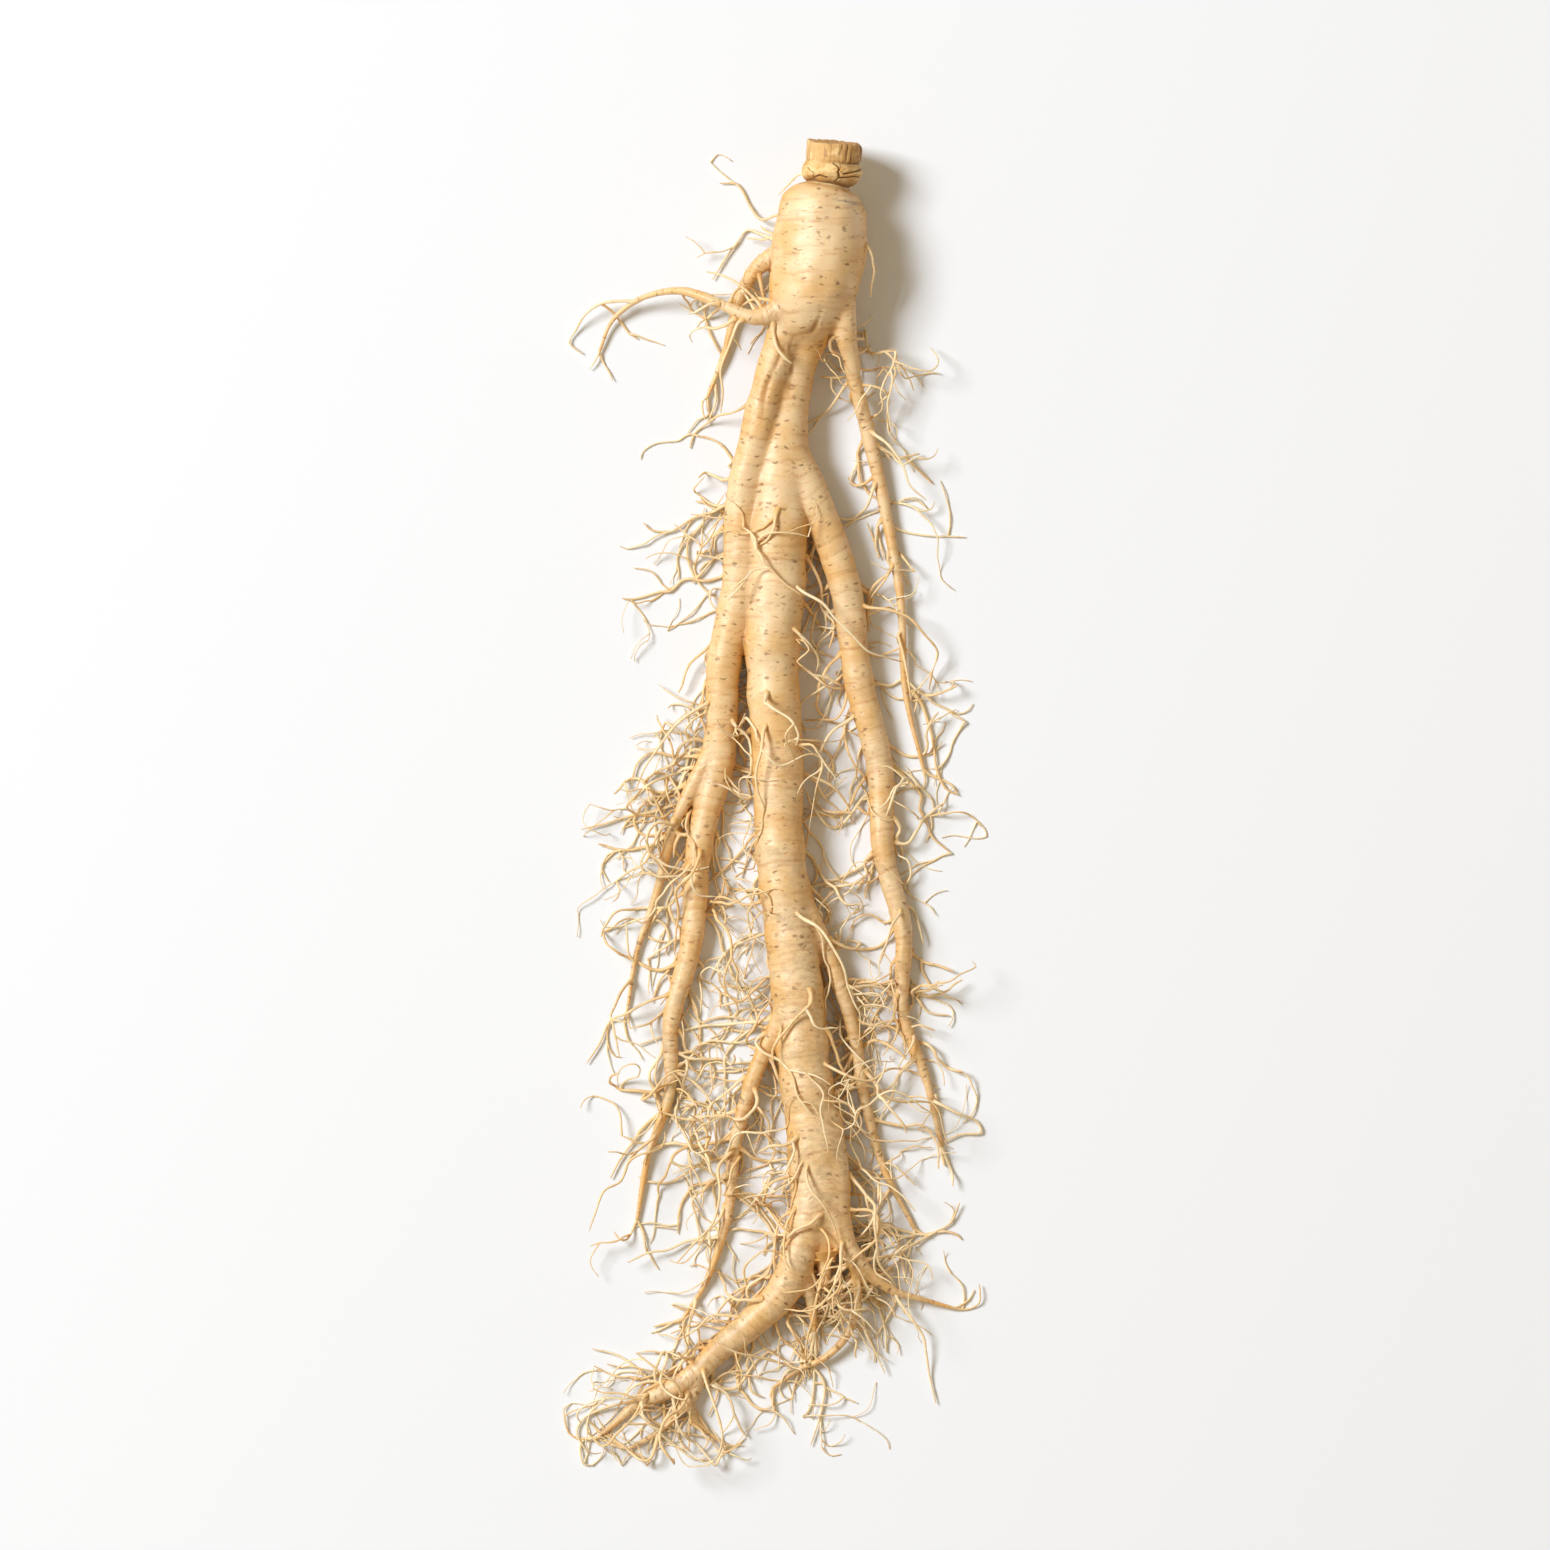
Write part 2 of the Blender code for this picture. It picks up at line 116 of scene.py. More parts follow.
BODY_AXIS = [
    (2.6, 144.0, 11.9), (1.8, 136.5, 11.2), (1.3, 133.5, 10.6), (-0.1, 131.0, 10.0),
    (-0.5, 124.0, 9.8), (-0.9, 117.0, 9.8), (-2.1, 110.0, 9.8), (-3.6, 103.0, 9.2), (-5.4, 97.0, 8.4),
]
ROOTS = {
    "trunk": [
        (-2.2, 110.4, 9.4, 8.0), (-3.4, 104.9, 7.9, 6.7), (-4.9, 98.3, 6.6, 5.5),
        (-6.6, 92.0, 5.8, 5.0), (-8.0, 81.8, 5.6, 5.4), (-9.8, 66.0, 6.0, 6.2), (-10.2, 48.0, 6.1, 6.4),
        (-11.2, 28.0, 5.9, 6.0), (-10.0, 6.0, 5.8, 5.7), (-9.4, -14.0, 6.0, 5.5),
        (-6.0, -41.4, 5.7, 5.6), (-3.4, -67.8, 5.5, 5.6), (-0.8, -84.0, 5.6, 5.0),
        (-0.2, -93.0, 5.8, 4.0), (0.0, -100.5, 5.6, 2.2),
    ],
    "left_leg": [
        (-7.0, 109.1, 10.8, 3.8), (-8.2, 102.7, 10.7, 3.8), (-9.9, 96.8, 10.1, 3.7),
        (-11.6, 91.5, 9.4, 3.5), (-14.4, 80.0, 8.2, 3.6), (-17.8, 64.0, 6.7, 3.8),
        (-18.6, 46.0, 5.2, 3.7), (-21.9, 28.0, 4.4, 3.6), (-22.8, 8.0, 2.9, 3.4),
        (-27.4, -12.0, 2.7, 3.0), (-28.8, -32.0, 2.8, 2.5), (-33.4, -50.0, 2.3, 1.9),
        (-33.8, -66.0, 1.7, 1.3), (-38.5, -80.0, 1.2, 0.8), (-41.0, -94.0, 0.8, 0.4),
    ],
    "right_leg": [
        (-7.0, 74.0, 6.6, 4.2), (-3.0, 66.0, 6.6, 3.9), (1.4, 56.0, 5.8, 3.6), (5.4, 42.0, 4.6, 3.4),
        (7.6, 25.0, 3.5, 3.2), (12.4, 6.0, 2.5, 2.9), (13.2, -13.0, 3.2, 2.5), (17.6, -31.0, 3.0, 2.0),
        (17.4, -48.0, 2.2, 1.5), (22.6, -63.0, 1.6, 1.0), (26.0, -78.0, 0.9, 0.5),
    ],
    "front_leg": [
        (3.5, 110.4, 11.5, 2.9), (4.4, 106.0, 11.8, 2.7), (4.8, 100.5, 10.6, 2.4),
        (5.9, 95.7, 8.6, 2.0), (6.8, 90.6, 6.6, 1.7), (9.6, 79.6, 3.6, 1.5), (13.6, 62.0, 2.0, 1.3),
        (17.0, 42.2, 2.4, 1.0), (18.0, 22.4, 1.8, 0.7), (22.0, 5.0, 1.0, 0.4),
    ],
    "arm": [
        (-6.2, 107.6, 12.5, 3.2), (-9.9, 105.8, 13.4, 2.7), (-13.2, 104.3, 13.6, 2.2),
        (-16.5, 104.3, 13.6, 1.9), (-20.9, 106.3, 13.0, 1.6), (-26.6, 108.7, 11.6, 1.35),
        (-31.2, 110.0, 9.6, 1.1), (-36.5, 109.6, 6.6, 0.85), (-41.8, 107.6, 3.6, 0.7),
        (-46.6, 103.4, 1.8, 0.55), (-49.3, 96.8, 0.9, 0.35),
    ],
    "shoulder_root": [
        (-5.2, 120.4, 7.8, 2.4), (-8.4, 119.1, 6.8, 2.3), (-11.4, 117.5, 5.6, 2.0),
        (-14.5, 115.0, 4.4, 1.7), (-17.2, 111.3, 3.0, 1.5), (-19.4, 105.5, 1.8, 1.2),
        (-21.5, 97.1, 1.3, 0.8), (-25.5, 87.0, 0.9, 0.4),
    ],
    "left_side_root": [
        (-23.6, 12.0, 3.6, 2.0), (-28.0, 3.0, 3.4, 1.6), (-33.0, -8.0, 2.6, 1.25),
        (-36.6, -22.0, 1.7, 0.95), (-41.0, -35.0, 1.0, 0.6), (-43.0, -47.0, 0.8, 0.35),
    ],
    "low_right_root": [
        (-8.0, -18.0, 6.6, 2.5), (-3.6, -26.0, 6.6, 2.1), (2.0, -38.0, 5.0, 1.8),
        (6.5, -52.0, 3.0, 1.5), (9.0, -67.0, 1.8, 1.2), (13.0, -82.0, 1.3, 0.9),
        (20.0, -96.0, 0.9, 0.45),
    ],
    "low_left_root": [
        (-5.5, -43.0, 5.8, 2.6), (-10.5, -52.0, 5.4, 2.1), (-15.5, -63.0, 4.0, 1.7),
        (-19.5, -78.0, 2.4, 1.4), (-21.0, -93.0, 1.6, 1.1), (-25.5, -107.0, 1.2, 0.7),
        (-31.0, -116.0, 0.8, 0.4),
    ],
    "left_tail": [
        (-4.0, -72.0, 5.7, 4.0), (-3.0, -84.0, 5.8, 4.4), (-2.8, -91.0, 5.9, 4.3),
        (-3.8, -96.6, 6.0, 4.0), (-5.6, -102.4, 5.7, 3.6), (-9.2, -110.0, 4.8, 3.15),
        (-15.6, -116.6, 3.6, 2.6), (-22.7, -122.3, 3.0, 2.2), (-29.0, -128.3, 2.4, 1.6),
        (-35.2, -132.0, 1.8, 1.25), (-41.1, -134.6, 1.6, 1.0), (-45.8, -138.8, 1.1, 0.65),
        (-49.9, -142.1, 0.8, 0.4),
    ],
    "right_tail": [
        (0.8, -72.0, 5.8, 3.4), (2.4, -84.0, 6.0, 3.4), (2.9, -92.0, 6.4, 3.0), (4.4, -98.6, 6.6, 2.5),
        (7.7, -103.6, 6.2, 1.95), (11.2, -106.9, 5.2, 1.35), (15.8, -109.8, 3.8, 0.95),
        (21.6, -111.5, 2.2, 0.65), (28.6, -113.5, 1.0, 0.35),
    ],
    "tail_spur": [
        (-4.8, -102.5, 5.4, 2.1), (-3.8, -107.5, 4.6, 1.7), (-2.6, -112.5, 3.6, 1.2),
        (-2.0, -118.5, 2.0, 0.6),
    ],
    "right_tail_fork": [
        (7.0, -103.2, 6.0, 1.5), (7.6, -109.0, 4.8, 1.2), (7.3, -114.0, 3.6, 1.05),
        (4.8, -120.0, 2.8, 0.9), (0.0, -124.6, 2.0, 0.8), (-5.5, -127.0, 1.4, 0.6),
        (-11.0, -131.0, 1.0, 0.4),
    ],
    "left_tail_fork": [
        (-26.4, -126.2, 2.5, 1.5), (-28.6, -132.4, 2.2, 1.15), (-31.9, -136.2, 1.8, 0.95),
        (-36.5, -140.8, 1.2, 0.6), (-42.5, -144.3, 0.8, 0.35),
    ],
    "last_fork": [
        (-29.6, -133.4, 2.0, 0.95), (-28.4, -137.6, 1.6, 0.8), (-25.6, -140.8, 1.2, 0.6),
        (-21.4, -143.6, 0.8, 0.35),
    ],
}
# How thick a root is, as a share of its route's radius, at these places along the frame's Y
FULLNESS = {
    "trunk": [(61, 1.0), (77, 0.94), (86, 0.88), (93, 0.86), (98, 0.94), (103, 1.0)],
    "arm": [(0, 0.87)],
    "left_tail": [
        (-141, 1.0), (-137, 1.2), (-132, 1.48), (-127, 1.42), (-121, 1.28), (-115, 1.28),
        (-102, 1.08), (-96, 1.0),
    ],
    "left_tail_fork": [(-143, 1.1), (-139, 1.25), (-134, 1.2), (-128, 1.0)],
}
USUAL_FULLNESS = [(0, 1.0)]
SWELLING, SWELL_PITCH = 0.09, 0.21
SHOULDER_SLOPE = 0.18              # the body's shoulder stands higher on the left
SHOULDER_END, SHOULDER_FADE = 20.0, 8.0
BODY_STEP, ROUTE_STEP = 0.4, 2.0   # between points down the body, and down a root
LEAST_RADIUS = 0.4                 # at the two ends of the body
THINNEST_FLESH = 1.1               # thinner than this, a root is swept as a tube of its own
LEAST_POINTS = 4                   # the fewest points in a root's thick part
THICK_END_TAPER = (0.97, 0.94, 0.9)
OVERLAP = 4                        # how many of the thick part's points its thin end starts with
FORK_FILL = 0.5                    # how soft the fillet in a fork is
NEAR, FAR = 9.0, 60.0              # how far from a root a gap is measured, and what stands for more
PAIRS_AT_ONCE = 3_000_000          # how many distances are measured together, to spare memory


def catmull_rom(points, step):
    """A smooth line through the points, with a new point about every step."""
    ends = [[2 * a - b for a, b in zip(points[0], points[1])],
            [2 * a - b for a, b in zip(points[-1], points[-2])]]
    line = [ends[0], *points, ends[1]]
    samples = []
    for before, start, end, after in zip(line, line[1:], line[2:], line[3:]):
        count = max(1, round(math.dist(start[:3], end[:3]) / step))
        for i in range(count):
            t = i / count
            samples.append([
                b + 0.5 * t * (c - a + t * (2 * a - 5 * b + 4 * c - d + t * (3 * b - a - 3 * c + d)))
                for a, b, c, d in zip(before, start, end, after)
            ])
    samples.append(list(points[-1]))
    return samples


def swollen(route, seed):
    """The route with its radius swelling and pinching a little, as the legs of a real root do."""
    return [
        [x, y, z, radius * (1 + SWELLING * noise.noise(Vector((SWELL_PITCH * x, SWELL_PITCH * y, seed))))]
        for x, y, z, radius in route
    ]


def body_centre(y):
    """The point of the body's axis at a given y."""
    ys = [-point[1] for point in BODY_AXIS]
    return tuple(float(np.interp(-y, ys, [point[i] for point in BODY_AXIS])) for i in range(3))


def unit(vectors):
    """Vectors, or one vector, at length 1."""
    return vectors / np.maximum(1e-9, np.linalg.norm(vectors, axis=-1, keepdims=True))


def framed(route):
    """A route in the frame's own place, and how far down the root each of its points is."""
    line = np.array(route, float)
    line[:, :2] += ROUTE_ORIGIN
    steps = np.linalg.norm(np.diff(line[:, :3], axis=0), axis=1)
    start = CROWN_TOP + ROUTE_ORIGIN[1] - line[0, 1]
    return {"line": line[:, :3], "radius": line[:, 3], "along": start + np.r_[0.0, steps.cumsum()]}


profile = np.array(catmull_rom([(depth, radius, 0.0) for depth, radius in BODY_PROFILE], BODY_STEP))[:, :2]
body_line = [(*body_centre(CROWN_TOP - depth), max(LEAST_RADIUS, radius)) for depth, radius in profile]
routes = {"body": framed(body_line)}
thin_ends = []
for number, (name, stations) in enumerate(ROOTS.items()):
    whole = framed(swollen(catmull_rom(stations, ROUTE_STEP), number))
    whole["radius"] *= np.interp(whole["line"][:, 1], *zip(*FULLNESS.get(name, USUAL_FULLNESS)))
    thick = max(LEAST_POINTS, int((whole["radius"] > THINNEST_FLESH).sum()))
    routes[name] = {said: values[:thick].copy() for said, values in whole.items()}
    routes[name]["radius"][-len(THICK_END_TAPER):] *= THICK_END_TAPER
    thin_ends.append({said: values[max(0, thick - OVERLAP):] for said, values in whole.items()})


def nearest_on_body(points):
    """For each point: its gap to the body's surface, the radius and depth there, and the way out."""
    centres = routes["body"]["line"]
    depth = CROWN_TOP + ROUTE_ORIGIN[1] - points[:, 1]
    across = points[:, 0] - np.interp(depth, profile[:, 0], centres[:, 0])
    up = points[:, 2] - np.interp(depth, profile[:, 0], centres[:, 2])
    ring = depth - SHOULDER_SLOPE * across * np.clip((SHOULDER_END - depth) / SHOULDER_FADE, 0.0, 1.0)
    radius = np.interp(ring, profile[:, 0], profile[:, 1])
    slope = np.interp(ring, profile[:, 0], np.gradient(profile[:, 1], profile[:, 0]))
    reach = np.maximum(np.hypot(across, up), 1e-6)
    out = np.stack([across / reach, slope, up / reach], axis=1)
    beyond = np.abs(depth - np.clip(depth, profile[0, 0], profile[-1, 0]))
    return (reach - radius) / np.linalg.norm(out, axis=1) + beyond, radius, depth, unit(out)


def nearest_on(route, points):
    """The same for a root that follows a route."""
    line, reach = route["line"], route["radius"].max() + NEAR
    low, high = line.min(axis=0) - reach, line.max(axis=0) + reach
    near = np.flatnonzero(((points > low) & (points < high)).all(axis=1))
    gap, radius, along = (np.full(len(points), FAR) for _ in range(3))
    out = np.zeros_like(points)
    if not len(near):
        return gap, radius, along, out
    spots = points[near]
    station = np.empty(len(near), int)
    for part in np.array_split(np.arange(len(near)), 1 + len(near) * len(line) // PAIRS_AT_ONCE):
        station[part] = ((spots[part, None] - line[None]) ** 2).sum(axis=2).argmin(axis=1)
    sides = []
    for first in (np.maximum(station - 1, 0), np.minimum(station, len(line) - 2)):
        step = line[first + 1] - line[first]
        share = np.clip(((spots - line[first]) * step).sum(axis=1) / (step ** 2).sum(axis=1), 0.0, 1.0)
        away = spots - line[first] - share[:, None] * step
        sides.append((np.linalg.norm(away, axis=1), first, share, away))
    nearer = sides[1][0] < sides[0][0]
    reach, first, share = (np.where(nearer, sides[1][i], sides[0][i]) for i in range(3))
    away = np.where(nearer[:, None], sides[1][3], sides[0][3])
    radius[near] = route["radius"][first] * (1 - share) + route["radius"][first + 1] * share
    along[near] = route["along"][first] * (1 - share) + route["along"][first + 1] * share
    gap[near] = reach - radius[near]
    out[near] = away / np.maximum(reach, 1e-6)[:, None]
    return gap, radius, along, out


def nearest_flesh(points):
    """The same for the whole flesh, where a smooth least gap fills the fork between two roots."""
    found = [nearest_on(route, points) for name, route in routes.items() if name != "body"]
    gaps, radii, alongs, outs = (np.stack(said) for said in zip(nearest_on_body(points), *found))
    least = gaps.min(axis=0)
    shares = np.exp((least - gaps) / FORK_FILL)
    total = shares.sum(axis=0)
    shares /= total
    out = (shares[:, :, None] * outs).sum(axis=0)
    return {
        "gap": least - FORK_FILL * np.log(total), "radius": (shares * radii).sum(axis=0),
        "along": (shares * alongs).sum(axis=0), "out": unit(out), "fork": 1 - np.linalg.norm(out, axis=1),
    }


def line_mesh(name, strands):
    """Lines of points in millimetres, with what each point or strand says of itself, as one mesh."""
    mesh = bpy.data.meshes.new(name)
    starts = np.cumsum([0] + [len(strand["line"]) for strand in strands])
    edges = [(i, i + 1) for first, last in zip(starts, starts[1:]) for i in range(first, last - 1)]
    mesh.from_pydata(np.concatenate([strand["line"] for strand in strands]) * MM, edges, [])
    for said in strands[0].keys() - {"line"}:
        values = np.concatenate([np.broadcast_to(strand[said], len(strand["line"])) for strand in strands])
        mesh.attributes.new(said, "FLOAT", "POINT").data.foreach_set("value", values.astype(np.float32))
    piece = bpy.data.objects.new(name, mesh)
    bpy.context.scene.collection.objects.link(piece)
    return piece


def made_plain(piece):
    """Turn what the piece's modifiers make into its own mesh."""
    graph = bpy.context.evaluated_depsgraph_get()
    mesh = bpy.data.meshes.new_from_object(piece.evaluated_get(graph))
    piece.modifiers.clear()
    piece.data = mesh


def grown_by(tree, piece, **inputs):
    """The piece as this Geometry Nodes tree makes it, as a plain mesh."""
    modifier = piece.modifiers.new(tree.name, "NODES")
    modifier.node_group = tree
    for item in tree.interface.items_tree:
        if item.name in inputs:
            modifier[item.identifier] = inputs[item.name]
    made_plain(piece)


class Wire:
    """A socket that takes part in sums: each operator adds the Math node for it."""

    def __init__(self, tree, socket=None):
        self.tree, self.socket = tree, socket

    def node(self, kind, settings, sockets, out=0):
        """A new node with its settings made first, its sockets set or linked, and one output given."""
        made = self.tree.nodes.new(kind)
        for name, value in settings.items():
            setattr(made, name, value)
        for name, value in sockets.items():
            for one in value if isinstance(value, list) else [value]:
                if isinstance(one, Wire):
                    self.tree.links.new(one.socket, made.inputs[name])
                else:
                    made.inputs[name].default_value = one
        return Wire(self.tree, made.outputs[out] if made.outputs else None)

    def beside(self, name):
        """Another output of the same node."""
        return Wire(self.tree, self.socket.node.outputs[name])

    def math(self, operation, *values):
        return self.node("ShaderNodeMath", {"operation": operation}, dict(enumerate(values)))

    def vector(self, operation, *values):
        return self.node("ShaderNodeVectorMath", {"operation": operation}, dict(enumerate(values)))

    def __add__(self, other):
        return self.math("ADD", self, other)

    def __sub__(self, other):
        return self.math("SUBTRACT", self, other)

    def __rsub__(self, other):
        return self.math("SUBTRACT", other, self)

    def __mul__(self, other):
        return self.math("MULTIPLY", self, other)

    __radd__, __rmul__ = __add__, __mul__

    def step(self, low, high):
        """0 below low and 1 above high, smooth between them."""
        limits = {"Value": self, "From Min": low, "From Max": high}
        return self.node("ShaderNodeMapRange", {"interpolation_type": "SMOOTHSTEP"}, limits)

    def mix(self, under, over):
        """Two colours, mixed by this share of the second. The node's colour sockets go by number."""
        return self.node("ShaderNodeMix", {"data_type": "RGBA"}, {0: self, 6: under, 7: over}, out=2)

    def bump(self, distance, strength):
        """A bumped normal, with this as its height."""
        return self.node("ShaderNodeBump", {}, {"Height": self, "Distance": distance, "Strength": strength})

    def said(self, name):
        """The number that a piece's mesh says at each point under this name."""
        return self.node("ShaderNodeAttribute", {"attribute_name": name}, {}, out="Fac")

    def place(self, across, along):
        """Where each point is, in units this long in millimetres across and along the frame's Y."""
        spot = self.node("ShaderNodeTexCoord", {}, {}, out="Object")
        return self.vector("MULTIPLY", spot, (1 / (across * MM), 1 / (along * MM), 1 / (across * MM)))

    def down(self, along, seed, sway=0.0):
        """How far down its root each point is, in units of this many millimetres, with some sway."""
        return self.said("along") * (1 / along) + self.fibres(across=3.0, along=3.0) * (sway / along) + seed

    def fibres(self, across, along, detail=2.0):
        """Smooth noise, mostly from 0.3 to 0.7, drawn out along the frame's Y."""
        sockets = {"Vector": self.place(across, along), "Scale": 1.0, "Detail": detail}
        return self.node("ShaderNodeTexNoise", {}, sockets)

    def bands(self, across, along, detail=2.0, seed=0.0):
        """Smooth noise whose spots are this long, in millimetres, across and along the root."""
        return self.node("ShaderNodeTexNoise", {"noise_dimensions": "4D"}, {
            "Vector": self.place(across, across), "W": self.down(along, seed), "Scale": 1.0, "Detail": detail,
        })

    def marks(self, across, along, size, share, seed=0.0):
        """Small marks, one in each cell of such a pattern for a share of its cells."""
        near = self.node("ShaderNodeTexVoronoi", {"voronoi_dimensions": "4D"}, {
            "Vector": self.place(across, across), "W": self.down(along, seed, sway=3.2), "Scale": 1.0,
        })
        pick = near.node("ShaderNodeSeparateColor", {}, {"Color": near.beside("Color")})
        strength = (1 - pick.step(share - 0.02, share + 0.02)) * (0.45 + 0.55 * pick.beside("Green"))
        return (1 - near.step(0.5 * size, size)) * strength


def finish_of(name, **constants):
    """A new material, its shader node with these constants set, and a wire to start from."""
    material = bpy.data.materials.new(name)
    material.use_nodes = True
    shader = material.node_tree.nodes["Principled BSDF"]
    for socket, value in constants.items():
        shader.inputs[socket.replace("_", " ")].default_value = value
    return material, shader, Wire(material.node_tree)


def feed(shader, **wires):
    """Link each wire to the shader's socket of that name, with _ for a space."""
    for socket, wire in wires.items():
        wire.tree.links.new(wire.socket, shader.inputs[socket.replace("_", " ")])


# The skin's finish: cream to light tan and slightly waxy, a deeper tan on its flanks and underside as painted
# shade, duller down the tails, with short brown crosswise pores, faint rings, and a tan tinge in every crease
# and fork, partly the creases' own colour and partly painted shade
CREAM, TAN, CREASE_AND_SHADE_TAN = (0.84, 0.645, 0.385, 1.0), (0.74, 0.43, 0.12, 1.0), (0.54, 0.26, 0.075, 1.0)
PORE_BROWN, DULL_STRAW = (0.27, 0.125, 0.04, 1.0), (0.60, 0.455, 0.26, 1.0)
FLESH_GLOW = {"Subsurface_Weight": 0.3, "Subsurface_Radius": (1.0, 0.42, 0.14),
              "Subsurface_Scale": 0.0016, "Specular_IOR_Level": 0.9}

skin_finish, shader, wire = finish_of("ginseng_skin", **FLESH_GLOW)
rings = wire.bands(across=7.0, along=0.6, detail=3.0)
patches = wire.bands(across=9.0, along=12.0, detail=3.0)
grain = wire.bands(across=0.7, along=0.4, detail=3.0)
dashes = wire.marks(across=1.9, along=0.84, size=0.47, share=0.4, seed=3.1)
dots = wire.marks(across=1.0, along=0.6, size=0.42, share=0.45, seed=7.7)
flank = wire.said("flank")
mottle = wire.bands(across=1.8, along=1.1, detail=3.0, seed=5.0).step(0.42, 0.62)
mottle = mottle * wire.said("along").step(60.0, 230.0)
colour = (mottle * 0.75).mix(CREAM, DULL_STRAW)
# Painted shade: the flanks and underside, and the trunk just below the body, are mixed towards the deeper tan
colour = (patches.step(0.38, 0.66) * 0.6 + flank * flank * 0.95).mix(colour, TAN)
colour = (rings.step(0.58, 0.66) * 0.28).mix(colour, CREASE_AND_SHADE_TAN)
# The creases' tan: their own colour in the rings and arm folds, painted shade in the forks and furrows
colour = (wire.said("crease") * 0.75).mix(colour, CREASE_AND_SHADE_TAN)
colour = (grain.step(0.5, 0.8) * 0.2).mix(colour, CREASE_AND_SHADE_TAN)
colour = (dots * 0.5).mix(colour, CREASE_AND_SHADE_TAN)
colour = (dashes * 0.85).mix(colour, PORE_BROWN)
height = rings * 0.3 + grain * 0.12 + dashes * -0.5 + dots * -0.2
feed(shader, Base_Color=colour, Roughness=0.4 + grain * 0.2, Normal=height.bump(0.0004, 0.55))

# The tree that grows a round root along each line, as thick as the line's points say
tree = bpy.data.node_groups.new("grow_along_lines", "GeometryNodeTree")
for name, kind in (("Lines", "Geometry"), ("Sides", "Int"), ("Lowest", "Float"), ("Finish", "Material")):
    tree.interface.new_socket(name, in_out="INPUT", socket_type="NodeSocket" + kind)
tree.interface.new_socket("Grown", in_out="OUTPUT", socket_type="NodeSocketGeometry")
wire = Wire(tree)
given = wire.node("NodeGroupInput", {}, {})
ring = wire.node("GeometryNodeCurvePrimitiveCircle", {},
                 {"Resolution": given.beside("Sides"), "Radius": MM})
grown = wire.node("GeometryNodeCurveToMesh", {}, {
    "Curve": wire.node("GeometryNodeMeshToCurve", {}, {"Mesh": given}), "Profile Curve": ring,
    "Scale": wire.node("GeometryNodeInputNamedAttribute", {"data_type": "FLOAT"}, {"Name": "radius"}),
    "Fill Caps": True,
})
place = wire.node("ShaderNodeSeparateXYZ", {}, {0: wire.node("GeometryNodeInputPosition", {}, {})})
sunk = given.beside("Lowest") - place.beside("Z")
lift = wire.node("ShaderNodeCombineXYZ", {}, {"Z": sunk.math("MAXIMUM", sunk, 0.0)})
grown = wire.node("GeometryNodeSetPosition", {}, {"Geometry": grown, "Offset": lift})
grown = wire.node("GeometryNodeSetShadeSmooth", {}, {"Geometry": grown})
grown = wire.node("GeometryNodeRealizeInstances", {}, {"Geometry": grown})
grown = wire.node("GeometryNodeSetMaterial", {}, {"Geometry": grown, "Material": given.beside("Finish")})
wire.node("NodeGroupOutput", {}, {"Grown": grown})
grow_along_lines = tree


def set_values(mesh, name, values):
    """Say a number at each of the mesh's points, under this name."""
    mesh.attributes.new(name, "FLOAT", "POINT").data.foreach_set("value", values.astype(np.float32))


def points_of(mesh):
    """The mesh's points, in millimetres."""
    points = np.empty(len(mesh.vertices) * 3, np.float32)
    mesh.vertices.foreach_get("co", points)
    return points.reshape(-1, 3).astype(float) / MM


def relaxed(points, edges):
    """Each point half way to the middle of its neighbours."""
    total = np.zeros_like(points)
    np.add.at(total, edges[:, 0], points[edges[:, 1]])
    np.add.at(total, edges[:, 1], points[edges[:, 0]])
    return 0.5 * points + 0.5 * total / np.bincount(edges.ravel(), minlength=len(points))[:, None]


FLESH_SIDES, FLESH_VOXEL = 20, 0.5
UNDER_ALL = -1.0                   # so low that no part of the flesh is lifted
SMOOTHING_ROUNDS, DRAWING_ROUNDS = 3, 2
LUMP_HEIGHT = 0.15
BROAD_LUMPS, SMALL_LUMPS = 0.11, 0.27
CREASE_DEPTH = 0.2
RING_SPACING = 2.2                 # between the ring creases, of which only parts show
RING_SWAY, RING_SWAY_PITCH = 2.0, 0.09
RING_SCATTER = 127.1               # puts each ring at a place of its own between its neighbours
RINGS_SHOWN, RING_PATCHINESS, RING_PATCH_PITCH = 0.35, 3.0, 0.14
RING_WIDTH, RING_LIP, RING_LIP_WIDTH = 0.4, 0.4, 1.0
RINGS_AT_TOP, RINGS_FADE, LEAST_RINGS = 1.4, 60.0, 0.7
ARM_FOLD_SPACING = 1.35            # between the close folds round the foot of the arm
ARM_FOLD_STRENGTH, ARM_FOLD_SHARPNESS = 0.75, 6
ARM_FOLDS_END, ARM_FOLDS_FADE = 11.0, 4.0
# The furrows in the front of the fork, as the routes' x and y: one under the body's lip, and two
# down between the roots that leave it
SEAMS = [
    [(-0.3, 106.6), (-0.9, 103.7), (-2.1, 101.5), (-3.2, 100.7), (-4.6, 100.4), (-6.0, 100.6)],
    [(-5.6, 100.6), (-6.7, 99.2), (-7.3, 97.5), (-7.2, 95.5), (-7.0, 92.0), (-7.8, 86.0)],
    [(-8.0, 98.8), (-9.0, 96.6), (-9.9, 94.8), (-10.7, 92.9), (-11.7, 91.1), (-12.8, 87.0), (-13.6, 81.0)],
]
SEAM_DEPTH, SEAM_WIDTH, SEAM_FADE, SEAM_STEP = 0.55, 0.42, 4.0, 0.5
SEAM_REACH, UNEVEN_PITCH = 2.0, 0.45
ON_SKIN, ON_TRUNK = 0.8, 0.6       # how near its surface a point is on a root
